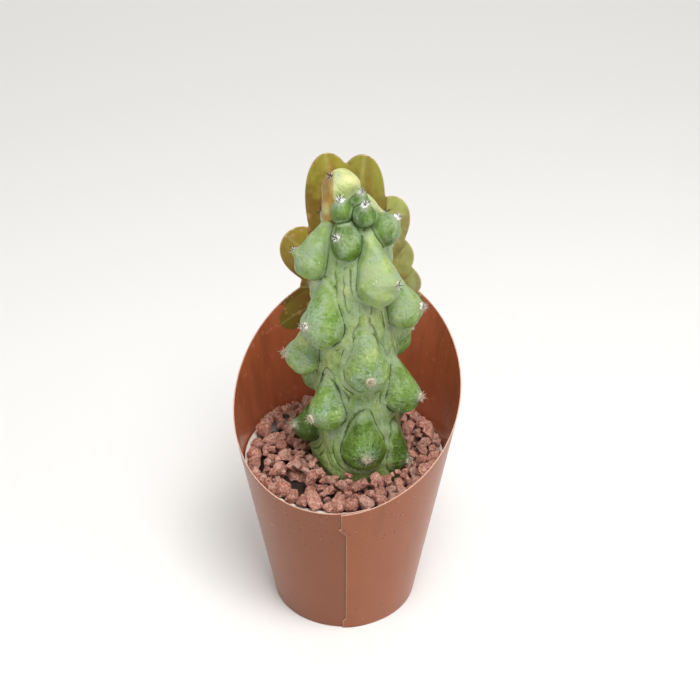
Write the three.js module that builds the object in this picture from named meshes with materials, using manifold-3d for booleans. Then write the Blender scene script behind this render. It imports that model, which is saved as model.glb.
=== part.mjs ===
// A columnar cactus with breast-shaped tubercles, in a plastic nursery pot topped with lava gravel.
// A card sleeve wraps the pot. It is cut low at the front and rises behind the plant to a crest of leaves.
// Millimetres, +Z up, -Y is the front. The origin is the centre of the pot's underside.
import * as THREE from 'three';
import { ConvexGeometry } from 'three/addons/geometries/ConvexGeometry.js';
import { mergeVertices } from 'three/addons/utils/BufferGeometryUtils.js';
import Module from 'manifold-3d';

// Clearance between pieces that touch.
const GAP = 0.3;
const ROUND_SIDES = 52;

// The sleeve: a cone of thin card.
const CARD = 0.7;
const SLEEVE_FOOT_RADIUS = 31.9;
const SLEEVE_FLARE = 0.17;
const SLEEVE_TALLEST = 195;
// Its oblique cut, from the low front to the shoulders of the back panel.
const EDGE_MIDDLE = 100;
const EDGE_SLOPE = 0.58;
const EDGE_SAG = 2.5;
const EDGE_TILT_DEG = 7.5;
// The seam at the front, where the card overlaps itself and locks with a small hook.
const SEAM_STEP = 0.6;
const SEAM_FADE_DEG = 32;
const SEAM_X = -0.9;
const SEAM_HOOK = 2.0;
const SEAM_HOOK_HEIGHT = 67;

// The crest: rounded leaves that fan out from a point low on the back panel.
const CREST_ROOT_HEIGHT = 124;
const CREST_LEAVES = [
  // Angle from upright in degrees, length and half width of each leaf.
  [-42, 38, 10],
  [-7.5, 62, 11.5],
  [8.5, 61.5, 11.5],
  [30, 50, 10],
  [50, 37.5, 9.5],
  [73, 35, 8.5],
];
// How much a leaf swells towards its far end.
const CREST_LEAF_SWELL = 0.2;
const CREST_LEAF_POINTS = 32;
const CREST_WEB_RADIUS = 20;

// The nursery pot.
const POT_HEIGHT = 72;
const POT_WALL = 1.0;
const POT_FLOOR = 1.2;
const POT_FOOT_RADIUS = 28.6;
const LIP_HEIGHT = 6;
const LIP_STEP = 1.7;
const DRAIN_COUNT = 6;
const DRAIN_RADIUS = 3.5;
const DRAIN_CIRCLE = 18;

// What fills the pot.
const SOIL_TOP = 63;
const GRAVEL_BED_TOP = 69.2;
const GRAVEL_SPILL_TOP = 73.2;
const GRAVEL_SPILL_SLOPE = [33.5, 37.5];
const GRAVEL_HIGHEST = 77;
const STONE_COUNT = 84;
const STONE_RADIUS = [2.4, 4.1];
const STONE_POINTS = 9;

// The stem.
const STEM_X = 6.3;
const STEM_Y = 1.0;
const STEM_LEAN = -0.024;
const STEM_LEAN_FROM = 70;
const COLLAR_RADIUS = 20.2;
const STEM_SIDES = 36;
// Height and radius up the stem, from its buried end to its tip.
const STEM_PROFILE = [
  [34, 9],
  [46, 15.5],
  [57, COLLAR_RADIUS],
  [78, COLLAR_RADIUS],
  [86, 18.4],
  [98, 17.2],
  [125, 17.0],
  [152, 16.4],
  [168, 14.8],
  [181, 11.4],
  [190, 6],
];

// Each tubercle: turn from the front in degrees, height of its tip, reach of its tip from the stem's axis,
// radius of its belly, how steeply its tip points up in degrees, height and radius of the neck where it leaves
// the stem, and how far its tip swings to the right of straight out in degrees.
const TUBERCLES = [
  [-80, 90, 27.7, 6.1, 22, 102, 2.6, 8],
  [-78, 126.5, 29.5, 7.4, 21, 142, 2.8, 5],
  [-82, 172, 23.2, 7.0, 31, 186, 2.2, -21],
  [-44, 103, 27.4, 7.9, 1, 117, 3.4, -5],
  [-46, 147, 27.7, 8.8, 20, 160, 4.0, -3],
  [-24, 183, 14.9, 6, 42, 189.5, 2, -20],
  [8, 87, 26.5, 9.2, 7, 103, 3.6, 0],
  [13.5, 124.6, 25.9, 9.0, 4, 140, 4.0, -4],
  [39.5, 166, 26.1, 8.6, 18, 181, 2.6, 8],
  [58, 77, 25.2, 7.6, 2, 94, 3.2, 0],
  [67, 108, 28.6, 8.0, 6, 124, 3.2, -6],
  [72, 150, 28.4, 7.8, 22, 163, 3.2, -9],
  [84, 186, 17.5, 6, 46, 184.5, 2.4, 20],
  [118, 128, 26.0, 8.4, 12, 144, 3.4, 0],
  [125, 91, 24.5, 7.8, 8, 106, 3.4, 0],
  [127, 168, 18.5, 7.0, 22, 181, 2.8, 0],
  [155, 107, 27, 8.8, 4, 124, 3.6, 0],
  [158, 148, 26, 8.8, 12, 164, 3.4, 0],
  [162, 184, 17, 6.2, 34, 190, 2.4, 0],
  [150, 76, 25, 7.6, 2, 92, 3.2, 0],
  [195, 89, 26.5, 8.4, 6, 106, 3.4, 0],
  [192, 128, 27, 9.0, 6, 145, 3.6, 0],
  [196, 169, 23, 8.2, 18, 183, 2.8, 0],
  [235, 108, 28, 8.7, 6, 125, 3.4, 0],
  [234, 149, 21.5, 8.2, 14, 164, 3.4, 0],
  [240, 184, 13.5, 5.6, 34, 190, 2.4, 0],
  [238, 76, 25, 7.6, 2, 92, 3.2, 0],
  [-111, 201, 8.4, 7.4, 50, 185, 6.0, 66],
  [-32, 195.8, 8.3, 4.4, 76, 187, 2.4, 0],
  [29, 194.8, 10.6, 4.3, 74, 187.5, 2.2, -9],
  [58, 196.5, 4.4, 3.7, 82, 187, 2.6, 0],
  [129, 182, 16.2, 5.8, 30, 189.5, 4.6, 0],
  [176, 195, 8.5, 5.2, 60, 184, 3.6, 0],
];
const NECK_REACH = 0.8;
const NOSE_RADIUS = 1.5;
const NOSE_LENGTH = 1.1;

// The areole at each tip: a pad of wool and a star of short spines.
const WOOL_RADIUS = 1.3;
const SPINES = 5;
const SPINE_LENGTH = [2.2, 3.6];
const SPINE_RADIUS = 0.32;

const wasm = await Module();
wasm.setup();

// A repeatable random draw between 0 and 1.
function seeded(seed) {
  let state = seed;
  return () => {
    state = (state + 0x6d2b79f5) | 0;
    let t = Math.imul(state ^ (state >>> 15), 1 | state);
    t = (t + Math.imul(t ^ (t >>> 7), 61 | t)) ^ t;
    return ((t ^ (t >>> 14)) >>> 0) / 4294967296;
  };
}

const between = (range, share) => range[0] + (range[1] - range[0]) * share;

function solid(geometry) {
  const bare = geometry.index ? geometry.toNonIndexed() : geometry.clone();
  for (const name of Object.keys(bare.attributes)) {
    if (name !== 'position') bare.deleteAttribute(name);
  }
  const merged = mergeVertices(bare, 1e-4);
  return new wasm.Manifold(
    new wasm.Mesh({
      numProp: 3,
      vertProperties: merged.attributes.position.array,
      triVerts: new Uint32Array(merged.index.array),
    }),
  );
}

function joined(solids) {
  return solids.reduce((whole, piece) => whole.add(piece));
}

// The outer skin alone: small hollows shut in between the joined solids are filled.
function filled(made) {
  return made.decompose().reduce((a, b) => (b.volume() > a.volume() ? b : a));
}

function geometryOf(made) {
  const { vertProperties, triVerts } = made.getMesh();
  const geometry = new THREE.BufferGeometry();
  geometry.setAttribute('position', new THREE.BufferAttribute(vertProperties, 3));
  geometry.setIndex(new THREE.BufferAttribute(triVerts, 1));
  geometry.computeVertexNormals();
  return geometry;
}

// A solid of revolution about Z from [radius, height] pairs that start and end on the axis.
function turned(profile, sides = ROUND_SIDES) {
  const points = profile.map(([radius, height]) => new THREE.Vector2(radius, height));
  return solid(new THREE.LatheGeometry(points, sides).rotateX(Math.PI / 2));
}

function cone(footRadius, topRadius, height) {
  return turned([
    [0, 0],
    [footRadius, 0],
    [topRadius, height],
    [0, height],
  ]);
}

// A prism seen from the front: an outline of [x, z] points, from depth y0 back to y1.
function frontPrism(shape, y0, y1) {
  const options = { depth: y1 - y0, bevelEnabled: false, curveSegments: 14 };
  const geometry = new THREE.ExtrudeGeometry(shape, options).rotateX(Math.PI / 2);
  return solid(geometry.translate(0, y1, 0));
}

const outline = (points) => new THREE.Shape(points.map(([a, b]) => new THREE.Vector2(a, b)));

const sleeveRadius = (z) => SLEEVE_FOOT_RADIUS + SLEEVE_FLARE * z;

function sleeveCone(grow) {
  return cone(sleeveRadius(0) + grow, sleeveRadius(SLEEVE_TALLEST) + grow, SLEEVE_TALLEST);
}

// Everything above the oblique cut, which sags a little in the middle.
function aboveTheCut() {
  const reach = 90;
  const points = [];
  for (let y = -reach; y <= reach; y += 15) {
    const sag = EDGE_SAG * (1 - (y / 45) ** 2);
    points.push([y, EDGE_MIDDLE + EDGE_SLOPE * y - Math.max(sag, -EDGE_SAG)]);
  }
  points.push([reach, 260], [-reach, 260]);
  const options = { depth: 2 * reach, bevelEnabled: false };
  const side = new THREE.ExtrudeGeometry(outline(points), options);
  side.rotateX(Math.PI / 2).rotateZ(Math.PI / 2).translate(-reach, 0, 0);
  side.translate(0, 0, -EDGE_MIDDLE);
  side.rotateY(-THREE.MathUtils.degToRad(EDGE_TILT_DEG)).translate(0, 0, EDGE_MIDDLE);
  return solid(side);
}

function crestLeaf([angle, length, halfWidth]) {
  const turn = THREE.MathUtils.degToRad(angle);
  const points = [];
  for (let i = 0; i < CREST_LEAF_POINTS; i += 1) {
    const share = (2 * Math.PI * i) / CREST_LEAF_POINTS;
    const up = (length / 2) * (1 + Math.cos(share));
    const side = halfWidth * Math.sin(share) * (1 + CREST_LEAF_SWELL * Math.cos(share));
    points.push([
      up * Math.sin(turn) + side * Math.cos(turn),
      CREST_ROOT_HEIGHT + up * Math.cos(turn) - side * Math.sin(turn),
    ]);
  }
  return frontPrism(outline(points), 15, 85);
}

function crest() {
  const web = new THREE.Shape();
  web.absarc(0, CREST_ROOT_HEIGHT, CREST_WEB_RADIUS, 0, 2 * Math.PI);
  return joined([frontPrism(web, 15, 85), ...CREST_LEAVES.map(crestLeaf)]);
}

// The overlap at the seam: a second layer of card that fades into the first one round the side.
function seamStrip() {
  const fade = Math.cos(THREE.MathUtils.degToRad(SEAM_FADE_DEG));
  const shift = SEAM_STEP / (1 - fade);
  const layer = sleeveCone(SEAM_STEP - shift).translate([0, -shift, 0]);
  const right = 26;
  const hooked = outline([
    [SEAM_X, 4.5],
    [SEAM_X + SEAM_HOOK, 6],
    [SEAM_X + SEAM_HOOK, SEAM_HOOK_HEIGHT - 3.5],
    [SEAM_X - SEAM_HOOK / 2, SEAM_HOOK_HEIGHT],
    [SEAM_X, SEAM_HOOK_HEIGHT + 0.6],
    [SEAM_X, SLEEVE_TALLEST - 1],
    [right, SLEEVE_TALLEST - 1],
    [right, 0.01],
    [SEAM_X, 0.01],
  ]);
  return layer.intersect(frontPrism(hooked, -90, 0)).subtract(sleeveCone(-CARD / 2));
}

function sleeve() {
  const wall = sleeveCone(0).subtract(
    cone(sleeveRadius(-1) - CARD, sleeveRadius(SLEEVE_TALLEST + 1) - CARD, SLEEVE_TALLEST + 2).translate([0, 0, -1]),
  );
  return wall.add(seamStrip()).subtract(aboveTheCut().subtract(crest()));
}

const lipRadius = (z) => sleeveRadius(z) - CARD - GAP;
const potRadius = (z) =>
  POT_FOOT_RADIUS + ((lipRadius(POT_HEIGHT - LIP_HEIGHT) - LIP_STEP - POT_FOOT_RADIUS) * z) / (POT_HEIGHT - LIP_HEIGHT);

function nurseryPot() {
  const lipFoot = POT_HEIGHT - LIP_HEIGHT;
  const body = turned([
    [0, 0],
    [POT_FOOT_RADIUS - 0.6, 0],
    [potRadius(0.6), 0.6],
    [potRadius(lipFoot), lipFoot],
    [lipRadius(lipFoot), lipFoot + 0.2],
    [lipRadius(POT_HEIGHT - 0.5), POT_HEIGHT - 0.5],
    [lipRadius(POT_HEIGHT) - 0.5, POT_HEIGHT],
    [potRadius(POT_HEIGHT) - POT_WALL + 0.4, POT_HEIGHT],
    [potRadius(lipFoot) - POT_WALL, lipFoot],
    [potRadius(POT_FLOOR) - POT_WALL, POT_FLOOR],
    [0, POT_FLOOR],
  ]);
  const drains = [];
  for (let i = 0; i < DRAIN_COUNT; i += 1) {
    const turn = (2 * Math.PI * (i + 0.5)) / DRAIN_COUNT;
    const drain = turned(
      [
        [0, -1],
        [DRAIN_RADIUS, -1],
        [DRAIN_RADIUS, POT_FLOOR + 1],
        [0, POT_FLOOR + 1],
      ],
      12,
    );
    drains.push(drain.translate([DRAIN_CIRCLE * Math.cos(turn), DRAIN_CIRCLE * Math.sin(turn), 0]));
  }
  return body.subtract(joined(drains));
}

const insidePot = (z) => potRadius(z) - POT_WALL - GAP;

// The stem's axis at a height: upright where it is buried, then leaning a little to the left.
const axisX = (z) => STEM_X + STEM_LEAN * Math.max(0, z - STEM_LEAN_FROM);

// The plain hole that the buried end of the stem stands in.
function stemHole(top) {
  const profile = [[0, STEM_PROFILE[0][0] - GAP]];
  for (const [z, radius] of STEM_PROFILE.slice(0, 3)) profile.push([radius + GAP, z - GAP]);
  profile.push([COLLAR_RADIUS + GAP, top], [0, top]);
  return turned(profile, STEM_SIDES).translate([STEM_X, STEM_Y, 0]);
}

function soil() {
  const low = POT_FLOOR + GAP;
  const body = turned([
    [0, low],
    [insidePot(low), low],
    [insidePot(SOIL_TOP), SOIL_TOP],
    [0, SOIL_TOP],
  ]);
  return body.subtract(stemHole(SOIL_TOP + 5));
}

function stone(radius, random) {
  const points = [];
  for (let i = 0; i < STONE_POINTS; i += 1) {
    const height = 1 - (2 * (i + 0.5)) / STONE_POINTS;
    const turn = i * 2.4 + random() * 0.9;
    const flat = Math.sqrt(1 - height * height);
    const size = radius * (0.78 + 0.34 * random());
    points.push(
      new THREE.Vector3(size * flat * Math.cos(turn), size * flat * Math.sin(turn), size * height * 0.85),
    );
  }
  return solid(new ConvexGeometry(points).rotateX(random() * 3).rotateZ(random() * 6));
}

// The top of the bed under the stones: it climbs towards the pot's rim and spills over it.
function bedHeight(out) {
  const [from, to] = GRAVEL_SPILL_SLOPE;
  return between([GRAVEL_BED_TOP, GRAVEL_SPILL_TOP], THREE.MathUtils.clamp((out - from) / (to - from), 0, 1));
}

// Stones scattered over the bed, each at least most of its own width from the others.
function stones() {
  const random = seeded(7);
  const placed = [];
  const made = [];
  for (let tries = 0; tries < 6000 && placed.length < STONE_COUNT; tries += 1) {
    const radius = between(STONE_RADIUS, random() ** 1.3);
    const turn = random() * 2 * Math.PI;
    const out = (sleeveRadius(POT_HEIGHT) - CARD - radius * 0.8) * Math.sqrt(random());
    const [x, y] = [out * Math.cos(turn), out * Math.sin(turn)];
    const clearOfStem = Math.hypot(x - STEM_X, y - STEM_Y) > COLLAR_RADIUS + radius * 0.5;
    if (!clearOfStem) continue;
    if (placed.some((p) => Math.hypot(p.x - x, p.y - y) < 0.88 * (p.radius + radius))) continue;
    placed.push({ x, y, radius });
    made.push(stone(radius, random).translate([x, y, bedHeight(out) + 0.4 + 0.4 * radius * random()]));
  }
  return joined(made);
}

// The gravel fills the pot and spills a little over its rim, up against the card.
function gravel() {
  const low = SOIL_TOP + GAP;
  const overRim = POT_HEIGHT + GAP;
  const againstCard = (z) => sleeveRadius(z) - CARD - GAP;
  const bed = turned([
    [0, low],
    [insidePot(low), low],
    [insidePot(overRim), overRim],
    [againstCard(overRim), overRim],
    [againstCard(GRAVEL_SPILL_TOP), GRAVEL_SPILL_TOP],
    [GRAVEL_SPILL_SLOPE[1], GRAVEL_SPILL_TOP],
    [GRAVEL_SPILL_SLOPE[0], GRAVEL_BED_TOP],
    [0, GRAVEL_BED_TOP],
  ]);
  const room = turned([
    [0, low],
    [insidePot(low), low],
    [insidePot(overRim), overRim],
    [againstCard(overRim), overRim],
    [againstCard(GRAVEL_HIGHEST), GRAVEL_HIGHEST],
    [0, GRAVEL_HIGHEST],
  ]);
  const hole = turned(
    [
      [0, low - 1],
      [COLLAR_RADIUS + GAP, low - 1],
      [COLLAR_RADIUS + GAP, GRAVEL_HIGHEST + 2],
      [0, GRAVEL_HIGHEST + 2],
    ],
    STEM_SIDES,
  ).translate([STEM_X, STEM_Y, 0]);
  const lowest = TUBERCLES.filter(([, height, , belly]) => height - belly < GRAVEL_HIGHEST + 1);
  const hollows = lowest.map((row) => tubercle(row, GAP));
  return bed.add(stones()).intersect(room).subtract(joined([hole, ...hollows]));
}

function ballPoints(centre, radius, detail) {
  const ball = new THREE.IcosahedronGeometry(radius, detail).attributes.position;
  const points = [];
  for (let i = 0; i < ball.count; i += 1) {
    points.push(new THREE.Vector3().fromBufferAttribute(ball, i).add(centre));
  }
  return points;
}

// The stem's radius at a height.
function stemRadius(z) {
  const above = STEM_PROFILE.findIndex(([height]) => height > z);
  if (above <= 0) return STEM_PROFILE.at(above)[1];
  const [[lowZ, lowRadius], [highZ, highRadius]] = STEM_PROFILE.slice(above - 1, above + 1);
  return between([lowRadius, highRadius], (z - lowZ) / (highZ - lowZ));
}

const bearing = (turn) => new THREE.Vector3(
  Math.sin(THREE.MathUtils.degToRad(turn)),
  -Math.cos(THREE.MathUtils.degToRad(turn)),
  0,
);

// Where a tubercle's tip, belly and neck lie, and the way its tip points.
function tubercleFrame([turn, tipHeight, reach, belly, aim, neckHeight, , swing]) {
  const slope = THREE.MathUtils.degToRad(aim);
  const nose = bearing(turn + swing).multiplyScalar(Math.cos(slope)).setZ(Math.sin(slope));
  const tip = new THREE.Vector3(axisX(tipHeight), STEM_Y, tipHeight).addScaledVector(bearing(turn), reach);
  const middle = tip.clone().addScaledVector(nose, -(belly + NOSE_LENGTH));
  const neck = new THREE.Vector3(axisX(neckHeight), STEM_Y, neckHeight);
  neck.addScaledVector(bearing(turn), NECK_REACH * stemRadius(neckHeight));
  return { tip, middle, neck, nose };
}

function tubercle(row, grow = 0) {
  const [, , , belly, , , neckRadius] = row;
  const { tip, middle, neck, nose } = tubercleFrame(row);
  const noseMiddle = tip.clone().addScaledVector(nose, -NOSE_RADIUS);
  const points = [
    ...ballPoints(middle, belly + grow, 1),
    ...ballPoints(neck, neckRadius + grow, 0),
    ...ballPoints(noseMiddle, NOSE_RADIUS + grow, 0),
  ];
  return solid(new ConvexGeometry(points));
}

function areole(row, random) {
  const { tip, nose } = tubercleFrame(row);
  const aim = new THREE.Quaternion().setFromUnitVectors(new THREE.Vector3(0, 1, 0), nose);
  const pieces = [solid(new THREE.IcosahedronGeometry(WOOL_RADIUS, 0).translate(tip.x, tip.y, tip.z))];
  for (let i = 0; i < SPINES; i += 1) {
    const length = between(SPINE_LENGTH, random());
    const tilt = i === 0 ? 0.25 : 0.95 + 0.3 * random();
    const turn = (2 * Math.PI * i) / (SPINES - 1) + random();
    const spine = new THREE.ConeGeometry(SPINE_RADIUS, length, 3).translate(0, length / 2, 0);
    spine.rotateX(tilt).rotateY(turn).applyQuaternion(aim);
    const root = tip.clone().addScaledVector(nose, 0.2);
    pieces.push(solid(spine.translate(root.x, root.y, root.z)));
  }
  return joined(pieces);
}

function stem() {
  const rings = STEM_PROFILE.map(([z, radius]) => [radius, z]);
  const top = STEM_PROFILE.at(-1)[0];
  const points = [[0, STEM_PROFILE[0][0]], ...rings, [0, top + 1]];
  const geometry = new THREE.LatheGeometry(
    points.map(([radius, z]) => new THREE.Vector2(radius, z)),
    STEM_SIDES,
  ).rotateX(Math.PI / 2);
  const position = geometry.attributes.position;
  for (let i = 0; i < position.count; i += 1) {
    const z = position.getZ(i);
    position.setXY(i, position.getX(i) + axisX(z), position.getY(i) + STEM_Y);
  }
  return solid(geometry);
}

function cactus() {
  const random = seeded(3);
  const flesh = filled(joined([stem(), ...TUBERCLES.map((row) => tubercle(row))]));
  return filled(joined([flesh, ...TUBERCLES.map((row) => areole(row, random))]));
}

const MATERIALS = {
  card: new THREE.MeshStandardMaterial({ color: 0x9a5f45, roughness: 0.45, metalness: 0 }),
  pot: new THREE.MeshStandardMaterial({ color: 0xd9d2c8, roughness: 0.5, metalness: 0 }),
  soil: new THREE.MeshStandardMaterial({ color: 0x2b1e17, roughness: 1, metalness: 0 }),
  gravel: new THREE.MeshStandardMaterial({ color: 0xa56a58, roughness: 0.95, metalness: 0 }),
  flesh: new THREE.MeshStandardMaterial({ color: 0x86a65e, roughness: 0.6, metalness: 0 }),
};

function piece(name, made, material) {
  const mesh = new THREE.Mesh(geometryOf(made), material);
  mesh.name = name;
  return mesh;
}

const group = new THREE.Group();
group.add(
  piece('sleeve', sleeve(), MATERIALS.card),
  piece('nursery_pot', nurseryPot(), MATERIALS.pot),
  piece('soil', soil(), MATERIALS.soil),
  piece('gravel', gravel(), MATERIALS.gravel),
  piece('cactus', cactus(), MATERIALS.flesh),
);

export default group;
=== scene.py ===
"""A potted cactus with drop-shaped tubercles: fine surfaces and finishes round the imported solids."""

import math
from collections import namedtuple
from functools import cached_property

import bmesh
import bpy
import numpy as np
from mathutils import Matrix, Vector


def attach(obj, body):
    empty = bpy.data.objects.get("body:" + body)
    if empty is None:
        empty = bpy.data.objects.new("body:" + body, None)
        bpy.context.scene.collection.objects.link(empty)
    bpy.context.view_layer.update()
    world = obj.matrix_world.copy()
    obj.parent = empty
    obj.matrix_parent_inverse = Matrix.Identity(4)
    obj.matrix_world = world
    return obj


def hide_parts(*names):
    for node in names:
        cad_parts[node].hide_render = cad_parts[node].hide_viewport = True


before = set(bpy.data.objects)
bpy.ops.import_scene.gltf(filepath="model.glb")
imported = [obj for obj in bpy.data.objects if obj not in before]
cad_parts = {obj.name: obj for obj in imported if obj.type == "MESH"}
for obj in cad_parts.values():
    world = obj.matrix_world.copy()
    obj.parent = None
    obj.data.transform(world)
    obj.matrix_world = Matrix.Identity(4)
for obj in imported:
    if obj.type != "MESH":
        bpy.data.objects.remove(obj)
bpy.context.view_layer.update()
bpy.context.scene.view_settings.view_transform = "Standard"

MM = 0.001
UP = np.array([0.0, 0.0, 1.0])

# Camera: the photograph's viewpoint, in millimetres.
CAMERA_PLACE = (2.54, -466.4, 416.1)
CAMERA_AIM = (2.54, 0.0, 124.7)
CAMERA_LENS = 68.3

# Soft boxes: place, width and height in metres, watts, and the point they are turned to.
PLANT_MIDDLE = (0, 0, 90)
SOFT_BOXES = {
    "overhead_box": ((150, -330, 880), (0.42, 0.42), 6.7, PLANT_MIDDLE),
    "left_box": ((-700, -350, 420), (0.6, 0.8), 1.5, PLANT_MIDDLE),
    "right_box": ((700, -250, 420), (0.5, 0.8), 1.6, PLANT_MIDDLE),
    "far_floor_box": ((0, 1700, 1500), (3.0, 1.6), 16.0, (0, 2100, 0)),
}
SKY_COLOUR = (1.0, 0.99, 0.97)
SKY_STRENGTH = 0.44
FLOOR_HALF = 4.0

# Sleeve.
FOOT_RADIUS = 31.9
FLARE = 0.17
CARD_THICKNESS = 0.45
EDGE_MIDDLE = 100.0
EDGE_SLOPE = 0.58
EDGE_SAG = 2.5
EDGE_SAG_REACH = 45.0
EDGE_TILT = math.radians(7.5)
SLEEVE_TALLEST = 190.0
SLEEVE_COLUMNS = 430
SEAM_STEP = 0.7
SEAM_FADE = math.radians(32)
UNDERLAP = math.radians(14)
# Height and sideways place of the seam line, from the floor to the top edge.
SEAM_LINE = (
    (0, -0.6), (4.6, -0.6), (6.6, 0.7), (60.4, 1.0), (61.0, 1.2), (64.4, -2.0), (65.0, -1.0), (190, -1.2),
)

# Crest leaves: degrees from upright, length, half width.
CREST_ROOT_HEIGHT = 124.0
CREST_LEAVES = (
    (-42, 38, 10), (-7.5, 62, 11.5), (8.5, 61.5, 11.5), (30, 50, 10), (50, 37.5, 9.5), (73, 35, 8.5),
)
CREST_LEAF_SWELL = 0.2
CREST_WEB_RADIUS = 20.0
CREST_FRONT_Y = 15.0
# Printed leaves: more of them low down, the order in which the crest's leaves are printed over those, and
# how much longer, wider and lower each print is than the leaf that is cut round it.
LOW_LEAVES = ((-80, 32, 7.5), (88, 33, 7.5), (-112, 29, 6.8), (116, 30, 6.8))
PRINT_ORDER = (5, 4, 0, 3, 2, 1)
PRINT_LONGER = 1.5
PRINT_WIDER = 0.8
PRINT_LOWER = 0.5

# Nursery pot.
POT_HEIGHT = 72.0
POT_WALL = 1.0
POT_FLOOR = 1.2
POT_FLOOR_TOP = POT_FLOOR + 0.4
POT_FOOT_RADIUS = 28.6
POT_RECESS = 0.5
POT_SIDES = 144
LIP_HEIGHT = 6.0
LIP_STEP = 1.7
CAD_CARD = 0.7
GAP = 0.3
DRAIN_COUNT = 6
DRAIN_RADIUS = 3.5
DRAIN_CIRCLE = 18.0

# Soil, and the hollows in the gravel where it shows: place and radius.
SOIL_TOP = 63.0
SOIL_RISE = 3.2
SOIL_RINGS = 46
SOIL_SIDES = 220
SOIL_HEART = 20.5
SOIL_HUMPS = (0.9, 9.0, 31)
SOIL_CRUMBS = (0.5, 3.1, 32)
SOIL_HOLLOWS = ((-21.0, -19.0, 4.4), (-19.5, -25.5, 3.2), (7.5, -29.0, 1.5))

# Stones in the order in which they drop: count, least and largest radius.
STONE_SIZES = ((100, 2.4, 3.4), (66, 3.9, 5.4), (110, 2.4, 3.6), (290, 1.4, 2.3))
STONE_TRIES = 14
STONE_SHAPES = 16
STONE_CORNERS = 11
STONE_CORNER_REACH = (0.82, 1.18)
STONE_SHAPE = (1.18, 1.0, 0.86)
STONE_BEVEL = 0.05
STONE_LONG_EDGE = 0.28
STONE_LUMPS = (0.035, 0.6)
STONE_GRAIN = 0.026
RIM_RADII = (2.1, 4.2)
RIM_ROOM = (1.0, 1.28)
GRAVEL_FLOOR = 65.6
GRAVEL_CEILING = 77.2
STEM_CLEARANCE = 19.6
GRAVEL_SEED = 12
# Where the pot's rim stays bare: turns from the front, in degrees.
BARE_RIM = ((-104, -88), (84, 94))
BARE_WIDTH = 1.1
BARE_DROP = 2.5
RIM_DROP = 0.2

# Stem: its axis, its heights with their radii, and its heights with the tone of the skin.
STEM_X = 6.3
STEM_Y = 1.0
STEM_LEAN = -0.024
STEM_LEAN_FROM = 70.0
STEM_TAPER = 0.93
STEM_PROFILE = (
    (34, 9), (46, 15.5), (57, 20.2), (78, 20.2), (86, 18.6), (98, 17.4),
    (125, 17.0), (146, 16.5), (158, 15.6), (168, 14.0), (176, 11.7), (183, 9.0), (188, 6.4), (191.5, 3.2),
    (192.5, 0),
)
STEM_HEIGHTS, STEM_RADII = (np.array(row, float) for row in zip(*STEM_PROFILE))
STEM_TONES = ((66, 0.45), (84, 0.4), (98, 0.40), (125, 0.50), (160, 0.70), (186, 0.2))

# Tubercles: turn from the front, height of the tip, its reach from the axis, radius of the belly, how far it
# aims up in degrees, height and radius of the neck, swing of the tip, and the skin's tone from -1, green, to
# 1.5, cream.
Tubercle = namedtuple("Tubercle", "turn tip_height reach belly aim neck_height neck_radius swing tone")
TUBERCLES = [Tubercle(*row) for row in (
    (-80, 90, 27.7, 6.1, 22, 102, 2.6, 8, -1.2),
    (-78, 126.5, 29.5, 7.4, 21, 142, 2.8, 5, 0.5),
    (-82, 172, 23.2, 7.0, 31, 186, 2.2, -21, 0.05),
    (-44, 103, 27.4, 7.9, 1, 117, 3.4, -5, -0.05),
    (-46, 147, 27.7, 8.8, 20, 160, 4.0, -3, -0.05),
    (-24, 183, 14.9, 6, 42, 189.5, 2, -20, -0.9),
    (8, 87, 26.5, 9.2, 7, 103, 3.6, 0, -0.75),
    (13.5, 124.6, 25.9, 9.0, 4, 140, 4.0, -4, 0.15),
    (39.5, 166, 26.1, 8.6, 18, 181, 2.6, 8, 0.5),
    (58, 77, 25.2, 7.6, 2, 94, 3.2, 0, -0.8),
    (67, 108, 28.6, 8.0, 6, 124, 3.2, -6, -0.45),
    (72, 150, 28.4, 7.8, 22, 163, 3.2, -9, 0.4),
    (84, 186, 17.5, 6, 46, 184.5, 2.4, 20, -0.8),
    (118, 128, 26.0, 8.4, 12, 144, 3.4, 0, 0.2),
    (125, 91, 24.5, 7.8, 8, 106, 3.4, 0, -0.5),
    (127, 168, 18.5, 7.0, 22, 181, 2.8, 0, 0.4),
    (155, 107, 27, 8.8, 4, 124, 3.6, 0, -0.2),
    (158, 148, 26, 8.8, 12, 164, 3.4, 0, 0.3),
    (162, 184, 17, 6.2, 34, 190, 2.4, 0, -0.3),
    (150, 76, 25, 7.6, 2, 92, 3.2, 0, -0.8),
    (195, 89, 26.5, 8.4, 6, 106, 3.4, 0, -0.6),
    (192, 128, 27, 9.0, 6, 145, 3.6, 0, 0.15),
    (196, 169, 23, 8.2, 18, 183, 2.8, 0, 0.35),
    (235, 108, 28, 8.7, 6, 125, 3.4, 0, 0.1),
    (234, 149, 21.5, 8.2, 14, 164, 3.4, 0, 0.35),
    (240, 184, 13.5, 5.6, 34, 190, 2.4, 0, -0.1),
    (238, 76, 25, 7.6, 2, 92, 3.2, 0, -0.9),
    (-111, 201, 8.4, 7.4, 50, 185, 6.0, 66, 1.35),
    (-32, 195.8, 8.3, 4.4, 76, 187, 2.4, 0, -0.95),
    (29, 194.8, 10.6, 4.3, 74, 187.5, 2.2, -9, -1.0),
    (58, 196.5, 4.4, 3.7, 82, 187, 2.6, 0, -0.6),
    (129, 182, 16.2, 5.8, 30, 189.5, 4.6, 0, 1.3),
    (176, 195, 8.5, 5.2, 60, 184, 3.6, 0, 0.0),
)]
# Tubercles with a painted golden-brown glow on their left side, reflected from the card, and the height and
# sideways place of its border.
CARD_GLOW_TUBERCLES = (25, 27)
CARD_GLOW_BORDER = ((186, -1.5), (194, -3.5))
# Tubercles whose areoles carry hardly any wool.
WORN_AREOLES = (25, 27, 31)
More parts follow.
